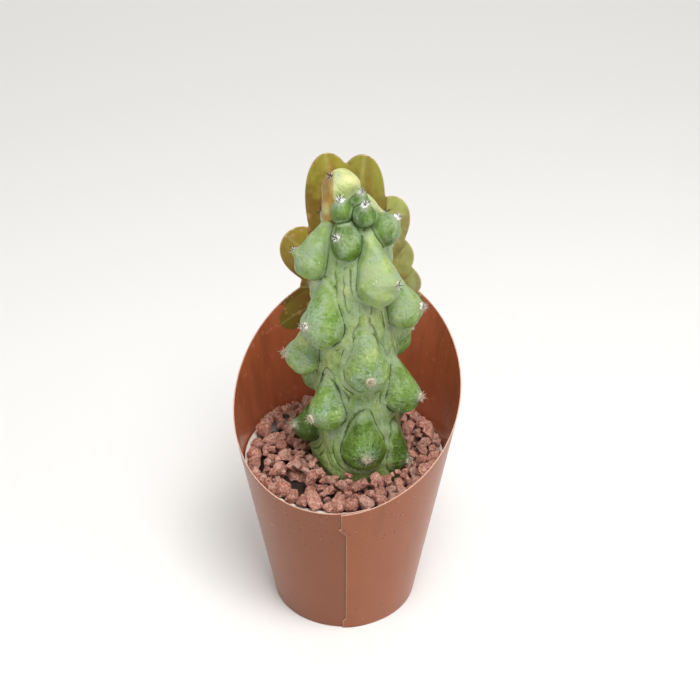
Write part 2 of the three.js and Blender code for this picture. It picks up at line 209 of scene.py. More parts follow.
# Areoles: they age from one height down, over so many millimetres. Sizes that change with age come as the
# young one and what age adds to it.
AREOLE_SEED = 21
AGEING_FROM = 170
AGEING_OVER = 45
WORN_PAD = 0.7
PAD_SIZE = (1.55, 0.2)
PAD_ROUGH = 0.18
PAD_FLAT = 0.55
HAIR_COUNT = (70, -20)
HAIR_LENGTH = (0.6, 1.6)
HAIR_RADIUS = 0.11
SPINE_LENGTH = (1.6, 2.5)
SPINE_LEAN = (0.8, 1.3)
SPINE_RADIUS = (0.26, -0.06)
YOUNG_SPINES = 4
OLD_SPINES = 9
NECK_REACH = 0.8
NOSE_RADIUS = 1.5
NOSE_LENGTH = 1.1
BELLY_BLEND = 1.2
SLOPE_BLEND = 2.6
# Fold lines: distance from one to the next, depth, lift of the skin between them, and how far they reach.
FOLD_PITCH = 3.2
FOLD_DEPTH = 1.15
FOLD_LIFT = 0.25
FOLD_REACH = 8.0
FOLD_RISE = 20.0
FOLD_BLEND = 4.0
FOLD_SHARE = 0.80
# Lumps and wandering lines: height, size and seed.
FOLD_DRIFT = (0.7, 17.0, 3)
FOLD_PATCHES = (0.7, 19.0, 8)
STEM_BULGES = (0.5, 17.0, 4)
FLESH_BULGES = (0.24, 9.0, 9)
FLESH_DIMPLES = (0.10, 3.6, 10)
CARD_GLOW_DRIFT = (0.4, 7.0, 2)
TONE_PATCHES = (0.30, 12.0, 41)
TONE_MARKS = (0.10, 4.5, 42)
BLOOM_PATCHES = (0.52, 12.0, 51)
BLOOM_MARKS = (0.20, 5.0, 52)
DRAWN_UP = (1, 1, 0.5)
# How softly a tubercle joins the stem: below its neck, and how much more above it.
CRISP = 0.15
MERGE = 0.7
# The box that the flesh is sampled in, its step, and a distance that stands for far off.
FLESH_LOW = (-32.0, -32.0, 60.0)
FLESH_HIGH = (40.0, 34.5, 206.0)
FLESH_STEP = 0.6
FLESH_REACH = 36
FAR = 60.0

# Colours of the finishes, as linear red, green and blue. A pair is the two ends that a pattern goes between.
PRINT_RICH = ((0.275, 0.083, 0.034), (0.330, 0.108, 0.047))
# A shaded copy of the print, for painted shade on one side of the card.
PRINT_SHADED = ((0.215, 0.066, 0.027), (0.262, 0.088, 0.041))
PRINT_RUBBED = (0.62, 0.42, 0.33)
OUTSIDE_DUST = (0.62, 0.38, 0.27)
OUTSIDE_RUN = (0.17, 0.055, 0.024)
# The drops' painted shadow and painted glint.
DROP_PAINTED_SHADOW = (0.16, 0.05, 0.025)
DROP_PAINTED_GLINT = (0.80, 0.62, 0.52)
SCUFF = (0.62, 0.38, 0.28)
PRINT_INSIDE = ((0.375, 0.092, 0.034), (0.510, 0.140, 0.058))
INSIDE_DUST = (0.56, 0.22, 0.10)
INSIDE_RUN = (0.20, 0.055, 0.020)
INSIDE_DROP = (0.66, 0.32, 0.20)
LEAF_WASHED = (0.150, 0.070, 0.012)
LEAF_RIB = (0.52, 0.50, 0.20)
LEAF_RIM = (0.17, 0.105, 0.012)
OCHRE_INK = ((0.21, 0.135, 0.018), (0.33, 0.255, 0.035))
SPRING_INK = ((0.24, 0.27, 0.035), (0.42, 0.45, 0.115))
PALE_INK = ((0.30, 0.34, 0.06), (0.50, 0.55, 0.20))
MOSS_INK = ((0.15, 0.108, 0.010), (0.315, 0.30, 0.043))
GOLD_INK = ((0.16, 0.11, 0.012), (0.34, 0.305, 0.036))
OLIVE_INK = ((0.10, 0.060, 0.010), (0.21, 0.165, 0.022))
CARD_FIBRE = ((0.50, 0.26, 0.18), (0.68, 0.46, 0.36))
POT_WHITE = ((0.66, 0.62, 0.55), (0.80, 0.77, 0.71))
POT_SOILING = (0.20, 0.11, 0.07)
SOIL_BROWN = ((0.012, 0.007, 0.005), (0.055, 0.030, 0.020))
SOIL_FIBRE = (0.16, 0.09, 0.055)
LAVA_RED = ((0.42, 0.138, 0.089), (0.88, 0.400, 0.290))
LAVA_PATCH = (0.76, 0.40, 0.31)
LAVA_DUST = (0.66, 0.44, 0.37)
# Painted shade for the stones' hollows and a painted highlight for their knobs.
LAVA_HOLLOW_SHADE = (0.15, 0.048, 0.032)
LAVA_KNOB_HIGHLIGHT = (0.84, 0.56, 0.46)
LAVA_PORE = (0.12, 0.038, 0.025)
# Painted shade laid over stones of low tone.
LAVA_PAINTED_SHADE = (0.22, 0.080, 0.055)
SKIN_GREENS = (
    (0.0, (0.050, 0.110, 0.003)), (0.12, (0.085, 0.170, 0.007)), (0.27, (0.118, 0.225, 0.016)),
    (0.44, (0.170, 0.285, 0.050)), (0.64, (0.250, 0.370, 0.090)), (0.84, (0.400, 0.480, 0.160)),
    (1.0, (0.600, 0.610, 0.260)),
)
BLOOM_GREY = ((0.330, 0.395, 0.210), (0.262, 0.368, 0.272))
# A painted golden-brown glow, reflected from the card onto some tubercles.
CARD_GLOW_BROWN = ((0.310, 0.142, 0.006), (0.300, 0.188, 0.010))
# Painted shade where the skin is sheltered by other flesh.
SHELTER_SHADE_GREEN = (0.085, 0.160, 0.030)
FOLD_RIDGE = (0.340, 0.430, 0.250)
# Painted shade in the fold grooves.
FOLD_GROOVE_SHADE = (0.050, 0.100, 0.018)
CREASE_RIM = (0.330, 0.420, 0.245)
# Painted shade in tight creases.
CREASE_SHADE = (0.028, 0.062, 0.010)
TIP_SCAR = (0.40, 0.38, 0.26)
WAX_FLECK = (0.62, 0.70, 0.54)
SKIN_PIT = (0.05, 0.10, 0.02)
WOOL_YOUNG = ((0.74, 0.73, 0.68), (0.93, 0.93, 0.90))
WOOL_OLD = ((0.38, 0.31, 0.19), (0.72, 0.66, 0.50))
SPINE_YOUNG = ((0.045, 0.025, 0.018), (0.020, 0.012, 0.010))
SPINE_OLD = ((0.26, 0.17, 0.09), (0.62, 0.56, 0.42))
FLOOR_PALE = ((0.86, 0.85, 0.83), (0.88, 0.87, 0.85))


def join_meshes(parts):
    """One vertex array and one face list from several (vertices, faces) pairs."""
    all_verts, all_faces, base = [], [], 0
    for verts, faces in parts:
        all_verts.append(verts)
        all_faces.extend([tuple(i + base for i in face) for face in faces])
        base += len(verts)
    return np.concatenate(all_verts), all_faces


def in_scene(name, data, place_mm=(0, 0, 0), aim_mm=None):
    """An object at its place in the scene, turned towards a point if one is given."""
    made = bpy.data.objects.new(name, data)
    bpy.context.scene.collection.objects.link(made)
    made.location = Vector(place_mm) * MM
    if aim_mm:
        made.rotation_euler = (Vector(aim_mm) - Vector(place_mm)).to_track_quat("-Z", "Y").to_euler()
    return made


def new_piece(name, verts_mm, faces, materials, smooth=True):
    """A mesh object in metres from millimetre vertices, riding on the pot's one body."""
    mesh = bpy.data.meshes.new(name)
    mesh.from_pydata((np.asarray(verts_mm) * MM).tolist(), [], [tuple(map(int, f)) for f in faces])
    mesh.validate()
    mesh.update()
    mesh.polygons.foreach_set("use_smooth", [smooth] * len(mesh.polygons))
    for material in materials:
        mesh.materials.append(material)
    piece = in_scene(name, mesh)
    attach(piece, "root")
    return piece


def paint(piece, **layers):
    """Stores one number per vertex in each layer, which a material reads by name."""
    for name, values in layers.items():
        layer = piece.data.attributes.new(name, "FLOAT", "POINT")
        layer.data.foreach_set("value", np.asarray(values, np.float32))


# Node work. A socket's name is given with _ for each space.

class NodeWork:
    """The nodes of one finish, or of a pattern that several finishes share."""

    def __init__(self, tree):
        self.tree = tree

    def plug(self, socket, value):
        """Links a socket to another one, or sets it; a colour comes as three numbers."""
        if isinstance(value, bpy.types.NodeSocket):
            self.tree.links.new(value, socket)
        else:
            socket.default_value = (*value, 1.0) if socket.type == "RGBA" else value

    def plug_all(self, sockets, named):
        for name, value in named.items():
            self.plug(sockets[name.replace("_", " ")], value)

    def add(self, kind, values=(), settings=None, **named):
        made = self.tree.nodes.new("ShaderNode" + kind)
        for key, value in (settings or {}).items():
            setattr(made, key, value)
        for socket, value in zip(made.inputs, values):
            self.plug(socket, value)
        self.plug_all(made.inputs, named)
        return made

    def calc(self, operation, *values, clamp=False):
        return self.add("Math", values, {"operation": operation, "use_clamp": clamp}).outputs[0]

    def times(self, *values):
        product = values[0]
        for value in values[1:]:
            product = self.calc("MULTIPLY", product, value)
        return product

    def plus(self, a, b):
        return self.calc("ADD", a, b)

    def minus(self, a, b, clamp=False):
        return self.calc("SUBTRACT", a, b, clamp=clamp)

    def line(self, value, slope, start, clamp=False):
        """The start and the value times the slope."""
        return self.calc("MULTIPLY_ADD", value, slope, start, clamp=clamp)

    def size_of(self, value):
        return self.calc("ABSOLUTE", value)

    def span(self, value, low, high):
        """From 0 at the one value to 1 at the other, gently at both ends."""
        return self.add("MapRange", (value, low, high), {"interpolation_type": "SMOOTHSTEP"}).outputs[0]

    def mix(self, share, one, other):
        made = self.add("Mix", (), {"data_type": "RGBA"})
        for i, value in ((0, share), (6, one), (7, other)):
            self.plug(made.inputs[i], value)
        return made.outputs[2]

    def tint(self, colour, mask, strength, other):
        """The colour with another over it, where the mask is and as strongly as said."""
        return self.mix(self.times(mask, strength), colour, other)

    def ramp(self, value, stops):
        """Colours along a scale; each stop is a place from 0 to 1 and a colour."""
        made = self.add("ValToRGB", (value,))
        elements = made.color_ramp.elements
        while len(elements) < len(stops):
            elements.new(0.5)
        for element, (position, colour) in zip(elements, stops):
            element.position = position
            element.color = (*colour, 1)
        return made.outputs[0]

    def cloud(self, place, scale, detail=4.0, rough=0.55):
        return self.add("TexNoise", Vector=place, Scale=scale, Detail=detail, Roughness=rough).outputs[0]

    def use(self, pattern, **named):
        made = self.add("Group", (), {"node_tree": pattern})
        self.plug_all(made.inputs, named)
        return made.outputs


class Pattern(NodeWork):
    """A node group: an input is its name, kind and usual value, an output is the name of a number."""

    def __init__(self, name, inputs, outputs):
        super().__init__(bpy.data.node_groups.new(name, "ShaderNodeTree"))
        for label, kind, value in inputs:
            socket = self.tree.interface.new_socket(label, in_out="INPUT", socket_type="NodeSocket" + kind)
            if value is not None:
                socket.default_value = value
        for label in outputs:
            self.tree.interface.new_socket(label, in_out="OUTPUT", socket_type="NodeSocketFloat")
        self.given = self.tree.nodes.new("NodeGroupInput").outputs
        self.result = self.tree.nodes.new("NodeGroupOutput").inputs

    def made_with(self, **results):
        self.plug_all(self.result, results)
        return self.tree


class Finish(NodeWork):
    """A material: its patterns lie at the places on the piece, and end in the sockets of its shader."""

    def __init__(self, name):
        self.material = bpy.data.materials.new(name)
        self.material.use_nodes = True
        super().__init__(self.material.node_tree)

    @cached_property
    def place(self):
        return self.add("TexCoord").outputs["Object"]

    @cached_property
    def place_parts(self):
        return self.add("SeparateXYZ", (self.place,)).outputs

    def drawn_out(self, **mapping):
        """The places turned or squeezed, which draws a pattern out."""
        return self.add("Mapping", (self.place,), **mapping).outputs[0]

    def reading(self, name):
        """A number that is stored per vertex."""
        return self.add("Attribute", settings={"attribute_name": name}).outputs["Fac"]

    def mottle(self, scale, contrast):
        return self.use(MOTTLE, Place=self.place, Scale=scale, Contrast=contrast)["Patch"]

    def specks(self, scale, size, share, place=None):
        place = self.place if place is None else place
        return self.use(SPECKS, Place=place, Scale=scale, Size=size, Share=share)

    def bump(self, height, strength, distance):
        return self.add("Bump", Height=height, Strength=strength, Distance=distance).outputs[0]

    def made_with(self, **sockets):
        self.plug_all(self.tree.nodes["Principled BSDF"].inputs, sockets)
        return self.material


def mottle_pattern():
    """Soft patches in two sizes, as a number round 0.5."""
    work = Pattern("mottle", (
        ("Place", "Vector", None), ("Scale", "Float", 50.0), ("Contrast", "Float", 1.0),
    ), ("Patch",))
    given = work.given
    large = work.cloud(given["Place"], given["Scale"], 3.0)
    fine = work.cloud(given["Place"], work.times(given["Scale"], 4.7), 3.0)
    both = work.plus(work.times(large, 0.65), work.times(fine, 0.35))
    return work.made_with(Patch=work.line(work.minus(both, 0.5), given["Contrast"], 0.5, clamp=True))


def speck_pattern():
    """Scattered round specks: only some of the cells hold one."""
    work = Pattern("specks", (
        ("Place", "Vector", None), ("Scale", "Float", 300.0),
        ("Size", "Float", 0.3), ("Share", "Float", 0.3),
    ), ("Speck", "Dome"))
    given = work.given
    cells = work.add("TexVoronoi", Vector=given["Place"], Scale=given["Scale"], Randomness=1.0).outputs
    parts = work.add("SeparateColor", (cells["Color"],)).outputs
    chosen = work.calc("LESS_THAN", parts[0], given["Share"])
    size = work.times(given["Size"], work.plus(parts[1], 0.35))
    dome = work.times(work.minus(1.0, work.calc("DIVIDE", cells["Distance"], size), clamp=True), chosen)
    return work.made_with(Dome=dome, Speck=work.calc("MULTIPLY", dome, 4.0, clamp=True))


def leaf_pattern():
    """A printed leaf on the upright panel: its mask, and how far along and across it a point lies."""
    work = Pattern("printed leaf", (
        ("Place", "Vector", None), ("Lean", "Float", 0.0), ("Length", "Float", 0.05),
        ("Half Width", "Float", 0.008), ("Root X", "Float", 0.0), ("Root Z", "Float", 0.12),
    ), ("Mask", "Along", "Across"))
    given = work.given
    parts = work.add("SeparateXYZ", (given["Place"],)).outputs
    x, z = work.minus(parts["X"], given["Root X"]), work.minus(parts["Z"], given["Root Z"])
    sine, cosine = work.calc("SINE", given["Lean"]), work.calc("COSINE", given["Lean"])
    up = work.plus(work.times(x, sine), work.times(z, cosine))
    side = work.minus(work.times(x, cosine), work.times(z, sine))
    half = work.times(given["Length"], 0.5)
    along = work.calc("DIVIDE", work.minus(up, half), half)
    width = work.times(given["Half Width"], work.line(along, CREST_LEAF_SWELL, 1.0))
    across = work.calc("DIVIDE", side, width)
    away = work.plus(work.times(along, along), work.times(across, across))
    return work.made_with(Mask=work.span(away, 1.06, 0.98), Along=along, Across=across)


MOTTLE = mottle_pattern()
SPECKS = speck_pattern()
PRINTED_LEAF = leaf_pattern()


def worn_edge(card, colour):
    """Print rubbed off the card along its cut edges, least on the crest."""
    ragged = card.line(card.cloud(card.place, 700.0, 3.0), 0.5, -0.25)
    wear = card.span(card.plus(card.reading("edge_away"), ragged), 0.38, 0.08)
    on_crest = card.span(card.place_parts["Z"], 0.125, 0.14)
    wear = card.times(wear, card.line(on_crest, -0.75, 1.0))
    return card.tint(colour, wear, 0.55, PRINT_RUBBED)


def card_outer():
    """The outside of the sleeve: mottled brick print with dust, runs, dried drops and scuffs in its coat;
    from the back round to the left front the print turns to a shaded copy as painted shade, and each drop
    has a painted shadow and a painted glint.
    """
    card = Finish("coated_card_outside")
    patch = card.mottle(scale=22.0, contrast=1.4)
    # Painted shade: from the back round to the left front, the print turns to its shaded copy.
    painted_shade_side = card.span(card.reading("round_share"), 0.35, 0.80)
    colour = card.mix(painted_shade_side, card.mix(patch, *PRINT_RICH), card.mix(patch, *PRINT_SHADED))
    dust = card.specks(scale=620.0, size=0.20, share=0.06)
    colour = card.tint(colour, dust["Speck"], 0.28, OUTSIDE_DUST)
    runs = card.cloud(card.drawn_out(Scale=(1.0, 1.0, 0.08)), 120.0, 4.0, 0.6)
    colour = card.tint(colour, card.span(runs, 0.50, 0.68), 0.22, OUTSIDE_RUN)
    high_up = card.span(card.place_parts["Z"], 0.040, 0.062)
    clustered = card.times(card.mottle(scale=34.0, contrast=9.0), card.line(high_up, 0.30, 0.01))
    drops = card.specks(scale=420.0, size=0.40, share=clustered)
    # Painted shadow darkens each drop, and a painted glint lights its top.
    colour = card.tint(colour, drops["Speck"], 0.30, DROP_PAINTED_SHADOW)
    colour = card.tint(colour, card.calc("GREATER_THAN", drops["Dome"], 0.78), 0.45, DROP_PAINTED_GLINT)
    slanting = card.drawn_out(Rotation=(0.0, 0.5, 0.3), Scale=(0.35, 0.35, 1.0))
    scuffs = card.specks(scale=700.0, size=0.26, share=0.30, place=slanting)
    where = card.times(card.span(card.mottle(scale=45.0, contrast=7.0), 0.6, 1.0), high_up)
    colour = card.tint(colour, card.times(scuffs["Speck"], where), 0.52, SCUFF)
    height = card.plus(drops["Dome"], card.times(card.cloud(card.place, 1500.0, 2.0), 0.06))
    return card.made_with(
        Base_Color=worn_edge(card, colour),
        Roughness=card.line(drops["Speck"], -0.12, card.line(patch, 0.12, 0.24)),
        Normal=card.bump(height, strength=0.5, distance=0.0003),
        Specular_IOR_Level=0.30,
    )


def printed_leaf(card, colour, number, leaf, ink, panel):
    """The colour with a leaf printed over it in blotched ink, with a pale rib and a dark rim."""
    lean, length, half_width = leaf
    print_of = card.use(
        PRINTED_LEAF,
        Place=card.place,
        Lean=math.radians(lean),
        Length=(length + PRINT_LONGER) * MM,
        Half_Width=(half_width + PRINT_WIDER) * MM,
        Root_X=0.0,
        Root_Z=(CREST_ROOT_HEIGHT - PRINT_LOWER) * MM,
    )
    dark, light = ink
    dark = card.mix(card.mottle(scale=38.0 + 5.0 * number, contrast=4.0), LEAF_WASHED, dark)
    shade = card.line(card.mottle(scale=40.0 + 6.0 * number, contrast=2.2), 1.0, -0.55)
    shade = card.line(print_of["Across"], 0.22, shade)
    shade = card.line(print_of["Along"], 0.95, shade, clamp=True)
    from_rib = card.size_of(print_of["Across"])
    green = card.mix(shade, dark, light)
    green = card.tint(green, card.span(from_rib, 0.09, 0.02), 0.22, LEAF_RIB)
    green = card.tint(green, card.span(from_rib, 0.62, 1.0), 0.50, LEAF_RIM)
    return card.mix(card.times(print_of["Mask"], panel), colour, green)


def card_inner():
    """The inside of the sleeve, with leaves printed on the tall panel in yellow and olive greens."""
    card = Finish("coated_card_inside")
    patch = card.mottle(scale=26.0, contrast=1.5)
    dust = card.specks(scale=520.0, size=0.26, share=0.16)
    colour = card.tint(card.mix(patch, *PRINT_INSIDE), dust["Speck"], 0.55, INSIDE_DUST)
    panel = card.calc("GREATER_THAN", card.place_parts["Y"], CREST_FRONT_Y * MM)
    leaves = (*LOW_LEAVES, *(CREST_LEAVES[i] for i in PRINT_ORDER))
    inks = (OLIVE_INK,) * 4 + (PALE_INK, SPRING_INK, OCHRE_INK, SPRING_INK, MOSS_INK, GOLD_INK)
    for number, (leaf, ink) in enumerate(zip(leaves, inks)):
        colour = printed_leaf(card, colour, number, leaf, ink, panel)
    runs = card.cloud(card.drawn_out(Scale=(1.0, 1.0, 0.12)), 150.0, 4.0, 0.6)
    colour = card.tint(colour, card.span(runs, 0.46, 0.66), 0.35, INSIDE_RUN)
    clustered = card.times(card.mottle(scale=30.0, contrast=8.0), 0.35)
    drops = card.specks(scale=300.0, size=0.42, share=clustered)
    colour = card.tint(colour, drops["Speck"], 0.22, INSIDE_DROP)
    return card.made_with(
        Base_Color=worn_edge(card, colour),
        Roughness=card.line(patch, 0.18, 0.24),
        Normal=card.bump(drops["Dome"], strength=0.45, distance=0.0003),
        Coat_Weight=0.3,
        Coat_Roughness=0.15,
    )


def card_core():
    """The bare fibre where the card is cut."""
    card = Finish("card_cut_edge")
    fibre = card.mottle(scale=400.0, contrast=1.4)
    return card.made_with(Base_Color=card.mix(fibre, *CARD_FIBRE), Roughness=0.85)


def pot_plastic():
    """Off-white plastic that lets a little light in, specked with soil."""
    pot = Finish("nursery_pot_plastic")
    patch = pot.mottle(scale=60.0, contrast=1.6)
    soiling = pot.specks(scale=500.0, size=0.3, share=0.12)
    return pot.made_with(
        Base_Color=pot.tint(pot.mix(patch, *POT_WHITE), soiling["Speck"], 0.5, POT_SOILING),
        Roughness=pot.line(patch, 0.15, 0.38),
        Subsurface_Weight=0.1,
        Subsurface_Scale=0.002,
    )


def damp_soil():
    """Dark crumbs with paler fibres."""
    soil = Finish("potting_soil")
    patch = soil.mottle(scale=220.0, contrast=2.2)
    fibre = soil.specks(scale=600.0, size=0.35, share=0.14)
    return soil.made_with(
        Base_Color=soil.tint(soil.mix(patch, *SOIL_BROWN), fibre["Speck"], 0.6, SOIL_FIBRE),
        Roughness=0.95,
        Normal=soil.bump(soil.cloud(soil.place, 900.0, 6.0, 0.7), strength=0.9, distance=0.0006),
    )


def lava_stone():
    """Red-brown lava: each stone has a tone and a dust of its own, with painted shade on stones of low tone,
    painted shade in its hollows, a painted highlight on its knobs, and dark pores.
    """
    stone = Finish("lava_stone")
    tone = stone.reading("stone_tone")
    patch = stone.mottle(scale=330.0, contrast=2.4)
    colour = stone.tint(stone.mix(tone, *LAVA_RED), patch, 0.55, LAVA_PATCH)
    colour = stone.tint(colour, stone.reading("stone_dust"), 0.55, LAVA_DUST)
    rubble = stone.cloud(stone.place, 760.0, 6.0, 0.75)
    # Painted shade in the hollows of the bump, and a painted highlight on its knobs.
    colour = stone.tint(colour, stone.span(rubble, 0.50, 0.41), 0.62, LAVA_HOLLOW_SHADE)
    colour = stone.tint(colour, stone.span(rubble, 0.52, 0.59), 0.70, LAVA_KNOB_HIGHLIGHT)
    pores = stone.specks(scale=1250.0, size=0.40, share=0.35)
    colour = stone.tint(colour, pores["Speck"], 0.35, LAVA_PORE)
    height = stone.minus(stone.times(rubble, 2.0), stone.times(pores["Dome"], 0.5))
    # Stones of low tone get painted shade over their colour.
    return stone.made_with(
        Base_Color=stone.tint(colour, stone.minus(1.0, tone), 0.36, LAVA_PAINTED_SHADE),
        Roughness=stone.line(patch, 0.12, 0.80),
        Normal=stone.bump(height, strength=0.9, distance=0.0007),
        Specular_IOR_Level=0.25,
    )


def skin_streaks(skin, past_stem, grain):
    """Fine streaks, round 0: up the stem, and out from the tip on each tubercle."""
    cosine, sine = skin.reading("round_tip_cosine"), skin.reading("round_tip_sine")
    radial = skin.add("CombineXYZ", (cosine, sine, skin.times(skin.reading("tip_distance"), 0.045)))
    rays = skin.cloud(radial.outputs[0], 5.0, 4.0, 0.6)
    lines = skin.cloud(skin.drawn_out(Scale=(1.0, 1.0, 0.22)), 420.0, 4.0, 0.6)
    on_tubercle = skin.span(past_stem, -0.4, 0.4)
    streak = skin.span(skin.line(skin.minus(rays, lines), on_tubercle, lines), 0.36, 0.64)
    return skin.times(skin.minus(streak, 0.5), skin.line(grain, 0.75, 0.15))


def fold_lines(skin):
    """The grooves of the fold lines, which are given painted shade, and the pale ridges between them, as two
    masks.
    """
    folded = skin.reading("fold_strength")
    turn = skin.times(skin.reading("fold_wander"), math.pi / FOLD_PITCH)
    wave = skin.size_of(skin.calc("SINE", turn))
    groove = skin.times(skin.span(wave, 0.30, 0.04), skin.span(folded, 0.05, 0.45))
    ridge = skin.times(skin.span(wave, 0.34, 0.55), skin.span(wave, 0.85, 0.6), folded)
    return groove, ridge


def cactus_skin():
    """Waxy skin: a pale bloom over green, rubbed off in places, with fold lines round each tubercle; painted
    shade in sheltered spots, tight creases and the fold grooves, and a painted golden-brown glow reflected
    from the card on some tubercles.
    """
    skin = Finish("cactus_skin")
    past_stem, snug = skin.reading("past_stem"), skin.reading("snug")
    grain, bloom = skin.reading("grain"), skin.reading("bloom")
    streak = skin_streaks(skin, past_stem, grain)
    gritty = skin.times(skin.minus(skin.cloud(skin.place, 900.0, 4.0, 0.7), 0.5), grain)
    level = skin.line(skin.mottle(scale=110.0, contrast=2.0), 0.6, -0.3)
    level = skin.line(gritty, 2.4, skin.line(streak, 0.55, level))
    level = skin.plus(skin.reading("tone"), level)
    colour = skin.ramp(skin.line(level, 0.4, 0.44, clamp=True), SKIN_GREENS)

    wax = skin.line(streak, skin.line(bloom, 0.6, 0.12), bloom)
    wax = skin.line(gritty, skin.line(bloom, 6.5, 1.2), wax)
    # Thinner bloom where the skin is snug in a crease, as painted shade.
    wax = skin.minus(wax, skin.times(snug, 0.8), clamp=True)
    cool = skin.mottle(scale=62.0, contrast=3.5)
    colour = skin.tint(colour, wax, 0.80, skin.mix(cool, *BLOOM_GREY))
    # Painted shade where other flesh shelters the skin.
    colour = skin.tint(colour, skin.reading("sheltered"), 0.55, SHELTER_SHADE_GREEN)
    groove, ridge = fold_lines(skin)
    colour = skin.tint(colour, ridge, 0.70, FOLD_RIDGE)
    # Painted shade in the fold grooves.
    colour = skin.tint(colour, groove, skin.times(grain, 0.80), FOLD_GROOVE_SHADE)

    on_stem = skin.calc("MAXIMUM", skin.times(past_stem, -1.0), 0.0)
    between = skin.plus(skin.size_of(skin.reading("parting")), on_stem)
    crease = skin.calc("MINIMUM", skin.size_of(past_stem), between)
    rim = skin.times(skin.span(crease, 0.4, 0.8), skin.span(crease, 2.2, 1.0))
    colour = skin.tint(colour, rim, 0.55, CREASE_RIM)
    # Painted golden-brown glow reflected from the card, on one side of some tubercles.
    brown = skin.mix(cool, *CARD_GLOW_BROWN)
    colour = skin.tint(colour, skin.reading("card_glow"), skin.line(streak, 0.25, 0.95), brown)
    # Painted shade in tight creases.
    depth = skin.times(skin.span(crease, 0.38, 0.06), skin.span(snug, 0.03, 0.22))
    colour = skin.tint(colour, depth, 0.84, CREASE_SHADE)

    scar = skin.span(skin.reading("tip_distance"), 3.4, 1.6)
    colour = skin.tint(colour, scar, skin.times(grain, 0.60), TIP_SCAR)
    fleck_share = skin.times(grain, skin.line(bloom, 0.16, 0.07))
    upright = skin.drawn_out(Scale=(1.0, 1.0, 0.22))
    flecks = skin.specks(scale=950.0, size=0.24, share=fleck_share, place=upright)
    colour = skin.tint(colour, flecks["Speck"], 0.50, WAX_FLECK)
    pits = skin.specks(scale=900.0, size=0.36, share=0.30)
    colour = skin.tint(colour, pits["Speck"], skin.times(grain, 0.28), SKIN_PIT)
    relief = skin.line(gritty, 1.6, skin.times(streak, 0.45))
    relief = skin.minus(relief, skin.times(groove, 0.6))
    relief = skin.minus(relief, skin.times(pits["Dome"], skin.times(grain, 0.3)))
    return skin.made_with(
        Base_Color=colour,
        Roughness=skin.line(wax, 0.25, 0.30),
        Normal=skin.bump(relief, strength=0.8, distance=0.0006),
        Subsurface_Weight=0.04,
        Subsurface_Radius=(0.6, 1.0, 0.3),
        Subsurface_Scale=0.0015,
    )


def areole_wool():
    """White wool that goes tan with age."""
    wool = Finish("areole_wool")
    patch = wool.mottle(scale=900.0, contrast=1.6)
    colour = wool.mix(wool.reading("age"), wool.mix(patch, *WOOL_YOUNG), wool.mix(patch, *WOOL_OLD))
    return wool.made_with(Base_Color=colour, Roughness=1.0, Sheen_Weight=0.4)


def spine_horn():
    """Nearly black spines that go straw-coloured with age, from root to point."""
    horn = Finish("spine_horn")
    along = horn.reading("along")
    colour = horn.mix(horn.reading("age"), horn.mix(along, *SPINE_YOUNG), horn.mix(along, *SPINE_OLD))
    return horn.made_with(Base_Color=colour, Roughness=0.5)


def pale_floor():
    """The pale floor that it all stands on."""
    ground = Finish("pale_floor")
    patch = ground.mottle(scale=3.0, contrast=0.3)
    return ground.made_with(Base_Color=ground.mix(patch, *FLOOR_PALE), Roughness=0.8)


# Camera, light and floor.

def make_camera():
    lens = bpy.data.cameras.new("camera")
    lens.sensor_width = 36.0
    lens.lens = CAMERA_LENS
    lens.clip_start = 0.01
    lens.clip_end = 20.0
    bpy.context.scene.camera = in_scene("camera", lens, CAMERA_PLACE, CAMERA_AIM)


def make_studio():
    world = bpy.data.worlds.new("studio")
    world.use_nodes = True
    bpy.context.scene.world = world
    sky = world.node_tree.nodes["Background"].inputs
    sky["Color"].default_value = (*SKY_COLOUR, 1)
    sky["Strength"].default_value = SKY_STRENGTH
    for name, (place, (width, height), watts, aim) in SOFT_BOXES.items():
        light = bpy.data.lights.new(name, "AREA")
        light.shape = "RECTANGLE"
        light.size = width
        light.size_y = height
        light.energy = watts
        in_scene(name, light, place, aim)
    half = FLOOR_HALF
    floor_mesh = bpy.data.meshes.new("floor")
    corners = [(-half, -half, 0), (half, -half, 0), (half, half, 0), (-half, half, 0)]
    floor_mesh.from_pydata(corners, [], [(0, 1, 2, 3)])
    floor_mesh.materials.append(pale_floor())
    in_scene("floor", floor_mesh)


# Flesh of the cactus: a field of distances, in millimetres, skinned where it passes zero.

def round_cone(points, a, b, ra, rb):
    """Distance to two balls and the cone that joins them."""
    along = b - a
    length2 = along @ along
    taper = ra - rb
    a2 = length2 - taper * taper
    if a2 <= 1e-6:
        centre, radius = (a, ra) if ra > rb else (b, rb)
        return np.linalg.norm(points - centre, axis=-1) - radius
    pa = points - a
    y = pa @ along
    z = y - length2
    cross = pa * length2 - y[..., None] * along
    x2 = np.einsum("...i,...i->...", cross, cross)
    y2 = y * y * length2
    z2 = z * z * length2
    side = np.sign(taper) * taper * taper * x2
    out = (np.sqrt(x2 * a2 / length2) + y * taper) / length2 - ra
    near_b = np.sign(z) * a2 * z2 > side
    near_a = (np.sign(y) * a2 * y2 < side) & ~near_b
    out = np.where(near_b, np.sqrt(x2 + z2) / length2 - rb, out)
    return np.where(near_a, np.sqrt(x2 + y2) / length2 - ra, out)


def soft_min(a, b, blend):
    share = np.clip(0.5 + 0.5 * (b - a) / blend, 0, 1)
    return b + (a - b) * share - blend * share * (1 - share)


def smooth_share(value, low, high):
    t = np.clip((value - low) / (high - low), 0, 1)
    return t * t * (3 - 2 * t)


def lumps(points, height, size, seed):
    """Smooth lumps up and down by about the height, from a few crossed waves."""
    draw = np.random.default_rng(seed)
    total = np.zeros(points.shape[:-1])
    for _ in range(7):
        way = draw.normal(size=3)
        way *= draw.uniform(0.7, 1.5) * 2 * math.pi / size / np.linalg.norm(way)
        total += np.sin(points @ way + draw.uniform(0, 6.3))
    return height * (total / 3.0)


